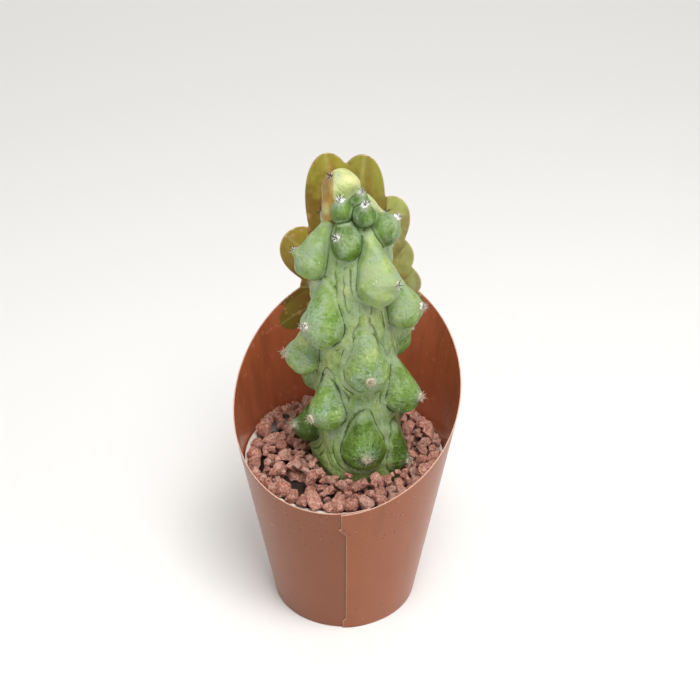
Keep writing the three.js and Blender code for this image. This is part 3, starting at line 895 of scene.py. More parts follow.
def axis_x(z):
    return STEM_X + STEM_LEAN * np.maximum(0, z - STEM_LEAN_FROM)


def bearing(turn):
    angle = math.radians(turn)
    return np.array([math.sin(angle), -math.cos(angle), 0.0])


def tubercle_points(row):
    """Tip, middle of the belly, neck, and the way the tip points."""
    slope = math.radians(row.aim)
    nose = bearing(row.turn + row.swing) * math.cos(slope) + UP * math.sin(slope)
    tip = np.array([axis_x(row.tip_height), STEM_Y, row.tip_height]) + bearing(row.turn) * row.reach
    middle = tip - nose * (row.belly + NOSE_LENGTH)
    stem_radius = np.interp(row.neck_height, STEM_HEIGHTS, STEM_RADII)
    neck = np.array([axis_x(row.neck_height), STEM_Y, row.neck_height])
    return tip, middle, neck + bearing(row.turn) * NECK_REACH * stem_radius, nose


def tubercle_distance(points, row):
    tip, middle, neck, nose = tubercle_points(row)
    nose_middle = tip - nose * NOSE_RADIUS
    body = round_cone(points, neck, middle, row.neck_radius, row.belly)
    point = round_cone(points, middle, nose_middle, row.belly * 0.97, NOSE_RADIUS)
    slope = round_cone(points, neck, nose_middle, row.neck_radius, NOSE_RADIUS)
    return soft_min(soft_min(body, point, BELLY_BLEND), slope, SLOPE_BLEND)


def tubercles_near(points, room, rise=0.0):
    """For each tubercle: its number, its row, which points lie in a box round it, and their distances."""
    for number, row in enumerate(TUBERCLES):
        _, middle, neck, _ = tubercle_points(row)
        margin = row.belly + room
        low, high = np.minimum(middle, neck) - margin, np.maximum(middle, neck) + margin
        high[2] += rise
        close = np.flatnonzero(((points > low) & (points < high)).all(axis=1))
        yield number, row, close, tubercle_distance(points[close], row)


def stem_distance(points):
    x, y, z = points[..., 0], points[..., 1], points[..., 2]
    radius = np.interp(z, STEM_HEIGHTS, STEM_RADII, left=0, right=0)
    out = np.hypot(x - axis_x(z), y - STEM_Y) - radius
    out = np.maximum(out * STEM_TAPER, STEM_HEIGHTS[0] - z)
    return np.maximum(out, z - STEM_HEIGHTS[-1])


FleshParts = namedtuple("FleshParts", "stem nearest second softness drape lasting")


def flesh_parts(points):
    """At scattered points: distance to the stem, to the nearest tubercle and to the next one, how softly the
    nearest one merges with the stem, distance to the nearest one drawn out upwards, for the folds, and how
    far up beside it the folds still go, from 1 to 0."""
    nearest, second, drape, lasting = (np.full(len(points), FAR) for _ in range(4))
    weight = np.full(len(points), 1e-9)
    softness = CRISP * weight
    for _, row, close, d in tubercles_near(points, 9.0, FOLD_RISE):
        some = points[close]
        _, middle, neck, _ = tubercle_points(row)
        second[close] = np.minimum(second[close], np.maximum(nearest[close], d))
        nearest[close] = soft_min(nearest[close], d, 0.12)
        above = smooth_share((some[:, 2] - middle[2]) / row.belly, 0.9, 2.2)
        pull = np.exp(-np.maximum(d, 0) / 0.5)
        softness[close] += pull * (CRISP + MERGE * above)
        weight[close] += pull
        risen = round_cone(some, neck, neck + UP * FOLD_RISE, row.neck_radius, row.neck_radius * 0.6)
        drawn_out = soft_min(d, risen, FOLD_BLEND)
        lower = drawn_out < drape[close]
        climbed = 1 - smooth_share((some[:, 2] - neck[2]) / FOLD_RISE, 0.3, 0.95)
        lasting[close] = np.where(lower, climbed, lasting[close])
        drape[close] = np.minimum(drape[close], drawn_out)
    stem = stem_distance(points)
    return FleshParts(stem, nearest, second, softness / weight, drape, np.minimum(lasting, 1))


def fold_wander(points, parts):
    """Distance from the tubercles and up past their necks, drifting a little: the fold lines follow it."""
    return parts.drape + lumps(points, *FOLD_DRIFT)


def fold_strength(points, parts):
    """How deep the fold lines are: they fade with distance, in patches and midway between two tubercles."""
    patchy = np.clip(FOLD_SHARE + lumps(points, *FOLD_PATCHES), 0.0, 1)
    patchy *= smooth_share(parts.second - parts.nearest, 0.2, 2.2)
    fading = np.exp(-np.maximum(parts.nearest, 0) / FOLD_REACH)
    above_gravel = smooth_share(points[:, 2], 70, 80)
    beside = smooth_share(parts.drape, -2.0, 0.3)
    return patchy * fading * above_gravel * beside * parts.lasting


def folded_stem(points, parts):
    """Distance to the stem with its bulges and the grooves of the fold lines."""
    wave = np.abs(np.sin(math.pi * fold_wander(points, parts) / FOLD_PITCH))
    groove = 1 - smooth_share(wave, 0.0, 0.6)
    cut = (FOLD_DEPTH * groove - FOLD_LIFT) * fold_strength(points, parts)
    return parts.stem + cut - lumps(points, *STEM_BULGES)


def flesh_distance(points):
    parts = flesh_parts(points)
    whole = soft_min(folded_stem(points, parts), parts.nearest, parts.softness)
    return whole - lumps(points, *FLESH_BULGES) - lumps(points, *FLESH_DIMPLES)


def flesh_field():
    """Samples the flesh on a grid, with full work only near the stem's axis, and gives the samples."""
    axes = [np.arange(low, high + FLESH_STEP, FLESH_STEP) for low, high in zip(FLESH_LOW, FLESH_HIGH)]
    field = np.empty([len(a) for a in axes])
    across = np.stack(np.meshgrid(axes[0], axes[1], indexing="ij"), axis=-1).reshape(-1, 2)
    for k, z in enumerate(axes[2]):
        points = np.column_stack([across, np.full(len(across), z)])
        away = np.hypot(points[:, 0] - axis_x(z), points[:, 1] - STEM_Y)
        level = away - FLESH_REACH - 4.0
        near = away < FLESH_REACH
        level[near] = flesh_distance(points[near])
        field[:, :, k] = level.reshape(len(axes[0]), len(axes[1]))
    return field


CELL_CORNERS = [(i, j, k) for i in (0, 1) for j in (0, 1) for k in (0, 1)]


def skin_of(field):
    """Four-sided faces where the sampled flesh passes zero, with one corner in each crossed cell."""
    inside = field < 0
    size = np.array(field.shape) - 1
    filled = np.zeros(size, np.int8)
    for i, j, k in CELL_CORNERS:
        filled += inside[i:i + size[0], j:j + size[1], k:k + size[2]]
    crossed = (filled > 0) & (filled < 8)
    cells = np.argwhere(crossed)
    number = np.full(size, -1)
    number[crossed] = np.arange(len(cells))
    total, count = np.zeros((len(cells), 3)), np.zeros(len(cells))
    for axis in range(3):
        for start in CELL_CORNERS:
            if start[axis]:
                continue
            along = np.eye(3, dtype=int)[axis]
            f0 = field[tuple((cells + start).T)]
            f1 = field[tuple((cells + start + along).T)]
            hit = (f0 < 0) != (f1 < 0)
            share = np.where(hit, f0 / np.where(hit, f0 - f1, 1), 0)
            point = start + share[:, None] * along
            total[hit] += point[hit]
            count[hit] += 1
    verts = FLESH_LOW + FLESH_STEP * (cells + total / count[:, None])
    quads = []
    for axis in range(3):
        u, v = (axis + 1) % 3, (axis + 2) % 3
        here, there = [slice(None)] * 3, [slice(None)] * 3
        here[axis], there[axis] = slice(0, -1), slice(1, None)
        low_in = inside[tuple(here)]
        edges = np.argwhere(low_in != inside[tuple(there)])
        good = (edges[:, u] > 0) & (edges[:, v] > 0) & (edges[:, u] < size[u]) & (edges[:, v] < size[v])
        edges = edges[good]
        step_u, step_v = np.eye(3, dtype=int)[u], np.eye(3, dtype=int)[v]
        ring = [edges - step_u - step_v, edges - step_v, edges, edges - step_u]
        quad = np.stack([number[tuple(c.T)] for c in ring], axis=1)
        flip = ~low_in[tuple(edges.T)]
        quad[flip] = quad[flip][:, ::-1]
        quads.append(quad)
    return verts, np.concatenate(quads)


def largest_body(verts, faces):
    """Drops the small shells that lie inside the main one."""
    label = np.arange(len(verts))
    while True:
        low = label[faces].min(axis=1)
        new = label.copy()
        for i in range(faces.shape[1]):
            np.minimum.at(new, faces[:, i], low)
        new = new[new]
        if (new == label).all():
            break
        label = new
    names, counts = np.unique(label, return_counts=True)
    keep = label == names[counts.argmax()]
    renumber = np.cumsum(keep) - 1
    return verts[keep], renumber[faces[keep[faces[:, 0]]]]


def sampled(field, points):
    """The field at scattered points, read between its samples."""
    place = np.clip((points - FLESH_LOW) / FLESH_STEP, 0, np.array(field.shape) - 1.001)
    base = place.astype(int)
    part = place - base
    total = np.zeros(len(points))
    for i, j, k in CELL_CORNERS:
        weight = np.abs(part - (1 - i, 1 - j, 1 - k)).prod(axis=1)
        total += weight * field[base[:, 0] + i, base[:, 1] + j, base[:, 2] + k]
    return total


def shelter(field, points, height):
    """From 0 in the open to 1 where other flesh closes in on a point this high over the skin."""
    slope = np.stack([
        sampled(field, points + step) - sampled(field, points - step) for step in np.eye(3) * FLESH_STEP
    ], axis=1)
    slope /= np.linalg.norm(slope, axis=1)[:, None] + 1e-9
    return np.clip(1 - sampled(field, points + slope * height) / height, 0, 1)


def parting(points):
    """Difference of the distances to the two nearest tubercles, which passes zero where they meet."""
    first, second = (np.full(len(points), FAR) for _ in range(2))
    first_owner, second_owner = (np.zeros(len(points), int) for _ in range(2))
    for number, _, close, d in tubercles_near(points, 6.0):
        nearer, next_best = d < first[close], d < second[close]
        no_nearer = np.where(next_best, number, second_owner[close])
        second_owner[close] = np.where(nearer, first_owner[close], no_nearer)
        second[close] = np.where(nearer, first[close], np.minimum(second[close], d))
        first_owner[close] = np.where(nearer, number, first_owner[close])
        first[close] = np.where(nearer, d, first[close])
    return (second - first) * np.where(first_owner < second_owner, 1, -1)


def skin_bloom(points, tone, stem, near_tip):
    """How thick the pale bloom is: patchy, thin on green flesh low down, thick at the tips and the stem."""
    low_down = smooth_share(-points[:, 2], -165, -130)
    bloom = 0.36 + np.minimum(tone, 0) * (0.2 + 0.3 * low_down) - 0.25 * np.maximum(tone - 0.6, 0)
    bloom += lumps(points, *BLOOM_PATCHES) + lumps(points * DRAWN_UP, *BLOOM_MARKS)
    bloom = np.clip(bloom, 0, 1) * (1 - 0.9 * low_down * smooth_share(-tone, 0.35, 0.7))
    bloom *= 0.35 + 0.65 * smooth_share(points[:, 2], 78, 98)
    bloom += 0.5 * np.clip(near_tip, 0, 1) * (tone < 0.9)
    bloom += 0.22 * smooth_share(-stem, -0.6, 0.2) * smooth_share(points[:, 2], 84, 110)
    return np.clip(bloom, 0, 1)


def skin_tones(points):
    """Layers for the skin: its tone, how thick its bloom is, how strongly the card's reflected glow is
    painted on it, distance from a tip and the bearing round it as a cosine and a sine."""
    stem = stem_distance(points)
    pull = np.exp(-np.maximum(stem, 0) / 0.5)
    total = pull * np.interp(points[:, 2], *zip(*STEM_TONES))
    card_glow, near_tip = np.zeros(len(points)), np.zeros(len(points))
    tip_away = np.full(len(points), 20.0)
    best, around = np.full(len(points), 5.0), np.zeros((len(points), 2))
    for number, row in enumerate(TUBERCLES):
        tip, middle, _, nose = tubercle_points(row)
        close = np.flatnonzero(np.linalg.norm(points - middle, axis=1) < 3.6 * row.belly + 4)
        some = points[close]
        distance = tubercle_distance(some, row)
        share = np.exp(-np.maximum(distance, 0) / 0.4)
        from_tip = np.linalg.norm(some - tip, axis=1)
        rising = 0.25 * smooth_share((some[:, 2] - middle[2]) / row.belly, 0, 2)
        total[close] += share * (row.tone + rising)
        pull[close] += share
        tip_away[close] = np.minimum(tip_away[close], from_tip)
        near_tip[close] += share * smooth_share(-from_tip / row.belly, -0.85, -0.3)
        turned_to = np.stack([(some - tip) @ way for way in frame_along(nose)], axis=1)
        turned_to /= np.linalg.norm(turned_to, axis=1)[:, None] + 1e-9
        better = distance < best[close]
        best[close[better]] = distance[better]
        around[close[better]] = turned_to[better]
        # Painted golden-brown glow reflected from the card, on the left side of these tubercles.
        if number in CARD_GLOW_TUBERCLES:
            border = np.interp(some[:, 2], *zip(*CARD_GLOW_BORDER)) - lumps(some, *CARD_GLOW_DRIFT)
            facet = share * smooth_share(border - some[:, 0], 0.0, 0.7) * smooth_share(some[:, 2], 183, 186)
            card_glow[close] = np.maximum(card_glow[close], facet)
    tone = total / pull
    return {
        "tone": tone + lumps(points, *TONE_PATCHES) + lumps(points * DRAWN_UP, *TONE_MARKS),
        "bloom": skin_bloom(points, tone, stem, near_tip),
        "card_glow": np.clip(card_glow, 0, 1),
        "tip_distance": tip_away,
        "round_tip_cosine": around[:, 0],
        "round_tip_sine": around[:, 1],
    }


def build_flesh():
    field = flesh_field()
    verts, faces = largest_body(*skin_of(field))
    flesh = new_piece("cactus_flesh", verts, faces, [cactus_skin()])
    parts = flesh_parts(verts)
    past_stem = folded_stem(verts, parts) - parts.nearest
    open_air = verts[:, 2] > POT_HEIGHT
    paint(
        flesh,
        **skin_tones(verts),
        past_stem=np.where(open_air, past_stem, -5),
        parting=np.where(open_air, parting(verts), 5),
        # Two shelter layers: the skin reads both as painted shade, in its tight creases and its sheltered
        # hollows.
        snug=shelter(field, verts, 1.0),
        sheltered=shelter(field, verts, 4.0),
        grain=0.45 + 0.55 * smooth_share(-verts[:, 2], -168, -128),
        fold_wander=fold_wander(verts, parts),
        fold_strength=fold_strength(verts, parts) * smooth_share(-past_stem, 0.1, 0.6),
    )
    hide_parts("cactus")


def ball(detail):
    """Corners and faces of a unit ball of triangles."""
    made = bmesh.new()
    bmesh.ops.create_icosphere(made, subdivisions=detail, radius=1.0)
    return taken_from(made)


def taken_from(made):
    """Corners and faces of a bmesh, which ends here; the faces come in one order, however it was built."""
    made.verts.index_update()
    verts = np.array([v.co for v in made.verts])
    faces = []
    for f in made.faces:
        ring = [v.index for v in f.verts]
        first = ring.index(min(ring))
        faces.append(tuple(ring[first:] + ring[:first]))
    made.free()
    return verts, sorted(faces)


def unit(way):
    return way / np.linalg.norm(way)


def frame_along(way):
    """Two directions square to one another and to the given one."""
    helper = UP if abs(way[2]) < 0.9 else np.array([1.0, 0.0, 0.0])
    u = unit(np.cross(way, helper))
    return u, np.cross(way, u)


def bands(sides, count):
    """Four-sided faces between rings of corners that follow one another."""
    faces = []
    for i in range(count):
        for k in range(sides):
            n = (k + 1) % sides
            faces.append((i * sides + k, i * sides + n, (i + 1) * sides + n, (i + 1) * sides + k))
    return faces


def tapered(root, way, length, radius, bend, sides=5, rings=5):
    """A pointed, slightly bent spike; returns its corners, faces and each corner's share along it."""
    u, v = frame_along(way)
    verts, share = [], []
    for i in range(rings):
        t = i / rings
        centre = root + way * length * t + bend * t * t
        r = radius * (1 - t) ** 0.8
        for k in range(sides):
            a = 2 * math.pi * k / sides
            verts.append(centre + r * (u * math.cos(a) + v * math.sin(a)))
            share.append(t)
    verts.append(root + way * length + bend)
    share.append(1.0)
    top = (rings - 1) * sides
    points = [(top + k, top + (k + 1) % sides, len(verts) - 1) for k in range(sides)]
    return np.array(verts), [tuple(range(sides))[::-1], *bands(sides, rings - 1), *points], share


def aged(pair, age):
    young, added = pair
    return young + added * age


def build_areoles():
    """At each tip a pad of wool with hairs, and short spines: one upright among a ring that leans out."""
    draw = np.random.default_rng(AREOLE_SEED)
    dome, dome_faces = ball(3)
    wool, wool_age, spines, spine_age, spine_share = [], [], [], [], []
    for number, row in enumerate(TUBERCLES):
        tip, _, _, nose = tubercle_points(row)
        age = float(np.clip((AGEING_FROM - row.tip_height) / AGEING_OVER, 0, 1))
        u, v = frame_along(nose)
        size = WORN_PAD if number in WORN_AREOLES else aged(PAD_SIZE, age)
        rough = 1 + PAD_ROUGH * draw.normal(size=len(dome))
        pad = tip - nose * 0.2 + dome @ np.stack([u, v, nose * PAD_FLAT]) * (size * rough)[:, None]
        wool.append((pad, dome_faces))
        wool_age += [age] * len(pad)
        for _ in range(int(aged(HAIR_COUNT, age) * size / 1.6)):
            way = unit(nose + 0.9 * (u * draw.normal() + v * draw.normal()))
            bend = 0.4 * draw.normal(size=3)
            hair = tapered(tip + way * size * 0.5, way, draw.uniform(*HAIR_LENGTH), HAIR_RADIUS, bend, 3, 3)
            wool.append(hair[:2])
            wool_age += [age] * len(hair[0])
        radials = YOUNG_SPINES if age < 0.4 else OLD_SPINES
        for i in range(radials + 1):
            turn = 2 * math.pi * (i + draw.uniform(-0.3, 0.3)) / radials
            out = 0.2 if i == radials else draw.uniform(*SPINE_LEAN) + 1.6 * age
            way = unit(nose + out * (u * math.cos(turn) + v * math.sin(turn)))
            length = draw.uniform(*SPINE_LENGTH) * (1 + 0.25 * age)
            root = tip + way * 0.6 + nose * 0.25
            bend = 0.3 * draw.normal(size=3)
            verts, faces, share = tapered(root, way, length, aged(SPINE_RADIUS, age), bend)
            spines.append((verts, faces))
            spine_share += share
            spine_age += [age] * len(verts)
    pads = new_piece("areole_wool", *join_meshes(wool), [areole_wool()])
    paint(pads, age=wool_age)
    thorns = new_piece("areole_spines", *join_meshes(spines), [spine_horn()])
    paint(thorns, age=spine_age, along=spine_share)


# Pot, soil and gravel.

def sleeve_radius(z):
    return FOOT_RADIUS + FLARE * z


def lip_radius(z):
    return sleeve_radius(z) - CAD_CARD - GAP


def pot_radius(z):
    top = lip_radius(POT_HEIGHT - LIP_HEIGHT) - LIP_STEP
    return POT_FOOT_RADIUS + (top - POT_FOOT_RADIUS) * z / (POT_HEIGHT - LIP_HEIGHT)


def inside_pot(z):
    return pot_radius(z) - POT_WALL - GAP


def turned(profile, sides):
    """A solid of revolution from [radius, height] pairs, which go from the axis back to the axis."""
    turn = np.arange(sides) * 2 * math.pi / sides
    verts, rows, faces = [], [], []
    for radius, height in profile:
        if radius < 1e-6:
            rows.append([len(verts)] * sides)
            verts.append((0.0, 0.0, height))
        else:
            rows.append(list(range(len(verts), len(verts) + sides)))
            verts += [(radius * math.cos(a), radius * math.sin(a), height) for a in turn]
    for one, two in zip(rows, rows[1:]):
        for k in range(sides):
            n = (k + 1) % sides
            face = list(dict.fromkeys((one[k], one[n], two[n], two[k])))
            if len(face) > 2:
                faces.append(face[::-1])
    return np.array(verts), faces


def rounded(points, radius=0.35, steps=3):
    """Rounds the corners of a profile, apart from its two ends."""
    out = [points[0]]
    for before, here, after in zip(points, points[1:], points[2:]):
        p, q, r = (np.array(x, float) for x in (before, here, after))
        a, b = p - q, r - q
        cut = min(radius, np.linalg.norm(a) / 2.1, np.linalg.norm(b) / 2.1)
        start, end = q + a / np.linalg.norm(a) * cut, q + b / np.linalg.norm(b) * cut
        for i in range(steps + 1):
            t = i / steps
            out.append(tuple((1 - t) ** 2 * start + 2 * t * (1 - t) * q + t * t * end))
    return out + [points[-1]]


def build_pot():
    """The thin pot, turned from its profile: recessed base, foot, wall and lip; its drains are cut out."""
    lip_foot = POT_HEIGHT - LIP_HEIGHT
    profile = rounded([
        (0, 0), (12, 0), (13, POT_RECESS), (POT_FOOT_RADIUS - 3.4, POT_RECESS), (POT_FOOT_RADIUS - 2.6, 0),
        (POT_FOOT_RADIUS - 0.6, 0), (pot_radius(0.6), 0.6), (pot_radius(3.2), 3.2),
        (pot_radius(3.8) - 0.35, 3.8), (pot_radius(lip_foot) - 0.2, lip_foot),
        (lip_radius(lip_foot), lip_foot + 0.2), (lip_radius(POT_HEIGHT - 0.2), POT_HEIGHT),
        (pot_radius(POT_HEIGHT) - POT_WALL + 0.4, POT_HEIGHT), (pot_radius(lip_foot) - POT_WALL, lip_foot),
        (pot_radius(POT_FLOOR) - POT_WALL, POT_FLOOR_TOP), (0, POT_FLOOR_TOP),
    ])
    pot = new_piece("nursery_pot_shell", *turned(profile, POT_SIDES), [pot_plastic()])
    drill_verts, drill_faces = turned([(0, -1), (DRAIN_RADIUS, -1), (DRAIN_RADIUS, 4), (0, 4)], 32)
    drills = []
    for i in range(DRAIN_COUNT):
        turn = 2 * math.pi * (i + 0.5) / DRAIN_COUNT
        shift = np.array([DRAIN_CIRCLE * math.cos(turn), DRAIN_CIRCLE * math.sin(turn), 0])
        drills.append((drill_verts + shift, drill_faces))
    drill = new_piece("drain_drill", *join_meshes(drills), pot.data.materials)
    cut = pot.modifiers.new("drains", "BOOLEAN")
    cut.object = drill
    cut.solver = "EXACT"
    bpy.context.view_layer.update()
    baked = bpy.data.meshes.new_from_object(pot.evaluated_get(bpy.context.evaluated_depsgraph_get()))
    pot.modifiers.clear()
    pot.data = baked
    bpy.data.objects.remove(drill)
    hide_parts("nursery_pot")


def build_soil():
    """Soil with a crumbly top: rings that run out from the stem to the pot's wall."""
    sides = SOIL_SIDES
    turn = np.arange(sides) * 2 * math.pi / sides
    centre = np.array([STEM_X, STEM_Y])
    ways = np.stack([np.cos(turn), np.sin(turn)], axis=1)
    wall = inside_pot(SOIL_TOP + 3)
    towards = centre @ ways.T
    reach = -towards + np.sqrt(towards**2 - centre @ centre + wall**2)
    verts = []
    for i in range(SOIL_RINGS):
        t = i / (SOIL_RINGS - 1)
        ring = centre + ways * (SOIL_HEART * (1 - t) + reach * t)[:, None]
        spots = np.column_stack([ring, np.full(sides, SOIL_TOP)])
        height = SOIL_TOP + SOIL_RISE + lumps(spots, *SOIL_HUMPS) + lumps(spots, *SOIL_CRUMBS)
        verts.append(np.column_stack([ring, height]))
    bottom = POT_FLOOR_TOP + GAP
    for z in (SOIL_TOP - 4, bottom):
        verts.append(np.column_stack([ways * inside_pot(z), np.full(sides, z)]))
    verts.append(np.array([[0, 0, bottom]]))
    faces = [face[::-1] for face in bands(sides, SOIL_RINGS + 1)]
    last = (SOIL_RINGS + 1) * sides
    faces += [(last + (k + 1) % sides, last + k, last + sides) for k in range(sides)]
    faces.append(range(sides))
    soil = new_piece("soil_fill", np.concatenate(verts), faces, [damp_soil()])
    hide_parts("soil")


def stone_shapes(draw):
    """Broken lumps: the hull of a few scattered points, its faces divided and roughened."""
    shapes = []
    for _ in range(STONE_SHAPES):
        lump = bmesh.new()
        for i in range(STONE_CORNERS):
            height = 1 - 2 * (i + 0.5) / STONE_CORNERS
            turn = i * 2.4 + draw.uniform(0, 1.1)
            flat = math.sqrt(1 - height * height)
            corner = np.array([flat * math.cos(turn), flat * math.sin(turn), height])
            lump.verts.new(corner * draw.uniform(*STONE_CORNER_REACH) * STONE_SHAPE)
        bmesh.ops.convex_hull(lump, input=lump.verts)
        bmesh.ops.bevel(lump, geom=lump.edges[:], offset=STONE_BEVEL, segments=1, affect="EDGES")
        bmesh.ops.triangulate(lump, faces=lump.faces[:])
        long_edges = [e for e in lump.edges if e.calc_length() > STONE_LONG_EDGE]
        bmesh.ops.subdivide_edges(lump, edges=long_edges, cuts=2, use_grid_fill=True)
        bmesh.ops.triangulate(lump, faces=lump.faces[:])
        verts, faces = taken_from(lump)
        rough = 1 + lumps(verts, *STONE_LUMPS, draw.integers(1000))
        rough += STONE_GRAIN * draw.normal(size=len(verts))
        shapes.append((verts * rough[:, None], faces))
    return shapes


def random_turn(draw):
    w, x, y, z = unit(draw.normal(size=4))
    return np.array([
        [1 - 2 * (y * y + z * z), 2 * (x * y - z * w), 2 * (x * z + y * w)],
        [2 * (x * y + z * w), 1 - 2 * (x * x + z * z), 2 * (y * z - x * w)],
        [2 * (x * z - y * w), 2 * (y * z + x * w), 1 - 2 * (x * x + y * y)],
    ])


def flesh_clearance(point):
    """How far a point lies from the cactus."""
    parts = flesh_parts(np.asarray(point, float)[None])
    return float(min(parts.stem[0], parts.nearest[0]))


def rest_height(placed, x, y, radius):
    """How high a stone's middle comes to rest over the bed and the stones already there."""
    floor = GRAVEL_FLOOR + radius * 0.6
    away2 = (placed[:, 0] - x) ** 2 + (placed[:, 1] - y) ** 2
    reach = (placed[:, 3] + radius) * 0.90
    touching = away2 < reach**2
    if not touching.any():
        return floor
    return max(floor, (placed[touching, 2] + np.sqrt(reach[touching] ** 2 - away2[touching])).max())


def rim_stones(draw):
    """Stones laid round on the pot's rim, set lower and further in where the rim stays bare."""
    placed = np.zeros((0, 4))
    turn = -180.0
    while turn < 180:
        radius = draw.uniform(*RIM_RADII)
        reach = sleeve_radius(POT_HEIGHT + 1) - CAD_CARD - radius * draw.uniform(*RIM_ROOM)
        bare = any(low < turn < high for low, high in BARE_RIM)
        x, y, _ = bearing(turn) * (reach - BARE_WIDTH * bare)
        height = POT_HEIGHT - (BARE_DROP if bare else RIM_DROP) + radius * 0.72
        placed = np.vstack([placed, (x, y, height, radius)])
        turn += math.degrees(1.5 * radius / reach)
    return placed


def kept_clear(x, y, radius):
    """Whether a spot is left to the stem or to one of the hollows that show the soil."""
    if math.hypot(x - STEM_X, y - STEM_Y) < STEM_CLEARANCE + 0.8 * radius:
        return True
    return any(math.hypot(x - hx, y - hy) < size + 0.75 * radius for hx, hy, size in SOIL_HOLLOWS)


def drop_stones(draw):
    """Stones dropped one by one on the soil: each settles at the lowest of a few spots tried."""
    placed = rim_stones(draw)
    for radius in [draw.uniform(low, high) for count, low, high in STONE_SIZES for _ in range(count)]:
        best = None
        for _ in range(STONE_TRIES):
            turn = draw.uniform(0, 2 * math.pi)
            out = (inside_pot(POT_HEIGHT) - radius * 0.8) * math.sqrt(draw.uniform())
            x, y = out * math.cos(turn), out * math.sin(turn)
            if kept_clear(x, y, radius):
                continue
            z = rest_height(placed, x, y, radius)
            if z + radius <= GRAVEL_CEILING and (best is None or z < best[2]):
                best = (x, y, z, radius)
        if best is not None and flesh_clearance(best[:3]) > radius * 0.68:
            placed = np.vstack([placed, best])
    return placed


def build_gravel():
    """The stones, each with a tone and a dust of its own; the tone also carries painted light, darker at the
    front where more light falls, and lighter further back where the sleeve shades them.
    """
    draw = np.random.default_rng(GRAVEL_SEED)
    placed = drop_stones(draw)
    shapes = stone_shapes(draw)
    parts, tones, dusts = [], [], []
    for x, y, z, radius in placed:
        shape, faces = shapes[draw.integers(len(shapes))]
        shape = shape @ random_turn(draw).T
        parts.append((shape * radius * 1.06 + np.array([x, y, z]), faces))
        # Half random tone, half painted light by place: darker at the front, lighter further back.
        tones += [0.5 * draw.uniform() + 0.5 * smooth_share(y, -30, -8)] * len(shape)
        dusts += [draw.uniform() ** 2] * len(shape)
    gravel = new_piece("lava_stones", *join_meshes(parts), [lava_stone()], smooth=False)
    paint(gravel, stone_tone=tones, stone_dust=dusts)
    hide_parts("gravel")


# Sleeve.

def above_cut(points):
    """Above zero where the slanting cut has taken the card away."""
    x, y, z = points[:, 0], points[:, 1], points[:, 2] - EDGE_MIDDLE
    local_z = -x * math.sin(EDGE_TILT) + z * math.cos(EDGE_TILT)
    sag = np.maximum(EDGE_SAG * (1 - (y / EDGE_SAG_REACH) ** 2), -EDGE_SAG)
    return local_z - (EDGE_SLOPE * y - sag)


def outside_crest(points):
    """Below zero inside the fan of leaves."""
    x, z = points[:, 0], points[:, 2] - CREST_ROOT_HEIGHT
    out = np.hypot(x, z) - CREST_WEB_RADIUS
    for lean, length, half_width in CREST_LEAVES:
        a = math.radians(lean)
        up = x * math.sin(a) + z * math.cos(a) - length / 2
        side = x * math.cos(a) - z * math.sin(a)
        width = half_width * (1 + CREST_LEAF_SWELL * np.clip(up / (length / 2), -1, 1))
        out = np.minimum(out, (np.hypot(up / (length / 2), side / width) - 1) * half_width)
    return np.where(points[:, 1] > CREST_FRONT_Y, out, FAR)


def clip(verts, tris, value, extras):
    """Cuts a sheet of triangles where value passes zero and keeps the part below it."""
    verts, extras, value = list(verts), list(extras), list(value)
    made, out = {}, []

    def between(i, j):
        key = (min(i, j), max(i, j))
        if key not in made:
            t = value[i] / (value[i] - value[j])
            made[key] = len(verts)
            verts.append(verts[i] * (1 - t) + verts[j] * t)
            extras.append(extras[i] * (1 - t) + extras[j] * t)
            value.append(0.0)
        return made[key]

    for tri in tris:
        ins = [value[i] < 0 for i in tri]
        if all(ins):
            out.append(tuple(tri))
        elif any(ins):
            loop = []
            for k in range(3):
                i, j = tri[k], tri[(k + 1) % 3]
                if ins[k]:
                    loop.append(i)
                if ins[k] != ins[(k + 1) % 3]:
                    loop.append(between(i, j))
            out.append(tuple(loop))
    return np.array(verts), out, np.array(extras)


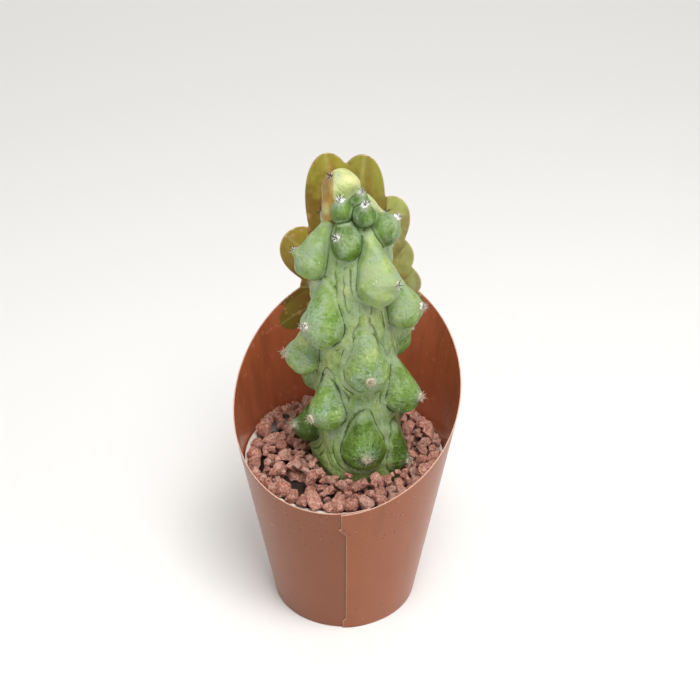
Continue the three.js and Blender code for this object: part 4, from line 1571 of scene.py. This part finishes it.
def card_cone():
    """The uncut cone as triangles: corners, faces, and at each corner the normal, the way from the seam and
    the share of the way round."""
    heights = np.array(sorted({*np.arange(0, SLEEVE_TALLEST + 0.1, 1.0), *(h for h, _ in SEAM_LINE)}), float)
    seam_x = np.interp(heights, *zip(*SEAM_LINE))
    share = np.linspace(0, 1, SLEEVE_COLUMNS)
    start = np.arcsin(seam_x / sleeve_radius(heights))
    turn = start[:, None] + share[None, :] * (2 * math.pi + UNDERLAP - start[:, None])
    stand_off = SEAM_STEP * (1 - smooth_share(turn, 0, SEAM_FADE))
    middle = sleeve_radius(heights)[:, None] - CARD_THICKNESS / 2 + stand_off
    z = np.repeat(heights[:, None], SLEEVE_COLUMNS, axis=1)
    grid = np.stack([middle * np.sin(turn), -middle * np.cos(turn), z], axis=-1).reshape(-1, 3)
    normal = np.stack([np.sin(turn), -np.cos(turn), np.full(turn.shape, -FLARE)], axis=-1).reshape(-1, 3)
    normal /= np.linalg.norm(normal, axis=1)[:, None]
    index = np.arange(grid.shape[0]).reshape(turn.shape)
    a, b, c, d = index[:-1, :-1], index[:-1, 1:], index[1:, 1:], index[1:, :-1]
    tris = np.concatenate([np.stack([a, b, c], -1).reshape(-1, 3), np.stack([a, c, d], -1).reshape(-1, 3)])
    from_seam = ((turn - turn[:, :1]) * middle).reshape(-1)
    return grid, tris, normal, from_seam, np.tile(share, len(heights))


def build_sleeve():
    """One sheet of card rolled into a cone: its near end lies over its far end at the front seam."""
    grid, tris, normal, from_seam, share = card_cone()
    value = np.minimum(above_cut(grid), outside_crest(grid))
    used = tris[value[tris].min(axis=1) < 0]
    kept = np.unique(used)
    renumber = np.full(len(grid), -1)
    renumber[kept] = np.arange(len(kept))
    extras = np.column_stack([normal, np.minimum(from_seam, -value), share])
    verts, faces, extras = clip(grid[kept], renumber[used].tolist(), value[kept], extras[kept])
    normals, edge_away, round_share = extras[:, :3], extras[:, 3], extras[:, 4]
    half = CARD_THICKNESS / 2
    count = len(verts)
    both = np.concatenate([verts + normals * half, verts - normals * half])
    both[:, 2] = np.maximum(both[:, 2], 0)
    edges = dict.fromkeys((i, j) for face in faces for i, j in zip(face, face[1:] + face[:1]))
    inner = [tuple(i + count for i in face[::-1]) for face in faces]
    walls = [(j, i, i + count, j + count) for i, j in edges if (j, i) not in edges]
    sheet = new_piece("card_wrap", both, [*faces, *inner, *walls], [card_outer(), card_inner(), card_core()])
    kinds = [0] * len(faces) + [1] * len(inner) + [2] * len(walls)
    sheet.data.polygons.foreach_set("material_index", kinds)
    sheet.data.polygons.foreach_set("use_smooth", [k < 2 for k in kinds])
    sheet.data.update()
    paint(sheet, edge_away=np.tile(np.maximum(edge_away, 0), 2), round_share=np.tile(round_share, 2))
    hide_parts("sleeve")


make_camera()
make_studio()
build_sleeve()
build_pot()
build_soil()
build_flesh()
build_areoles()
build_gravel()
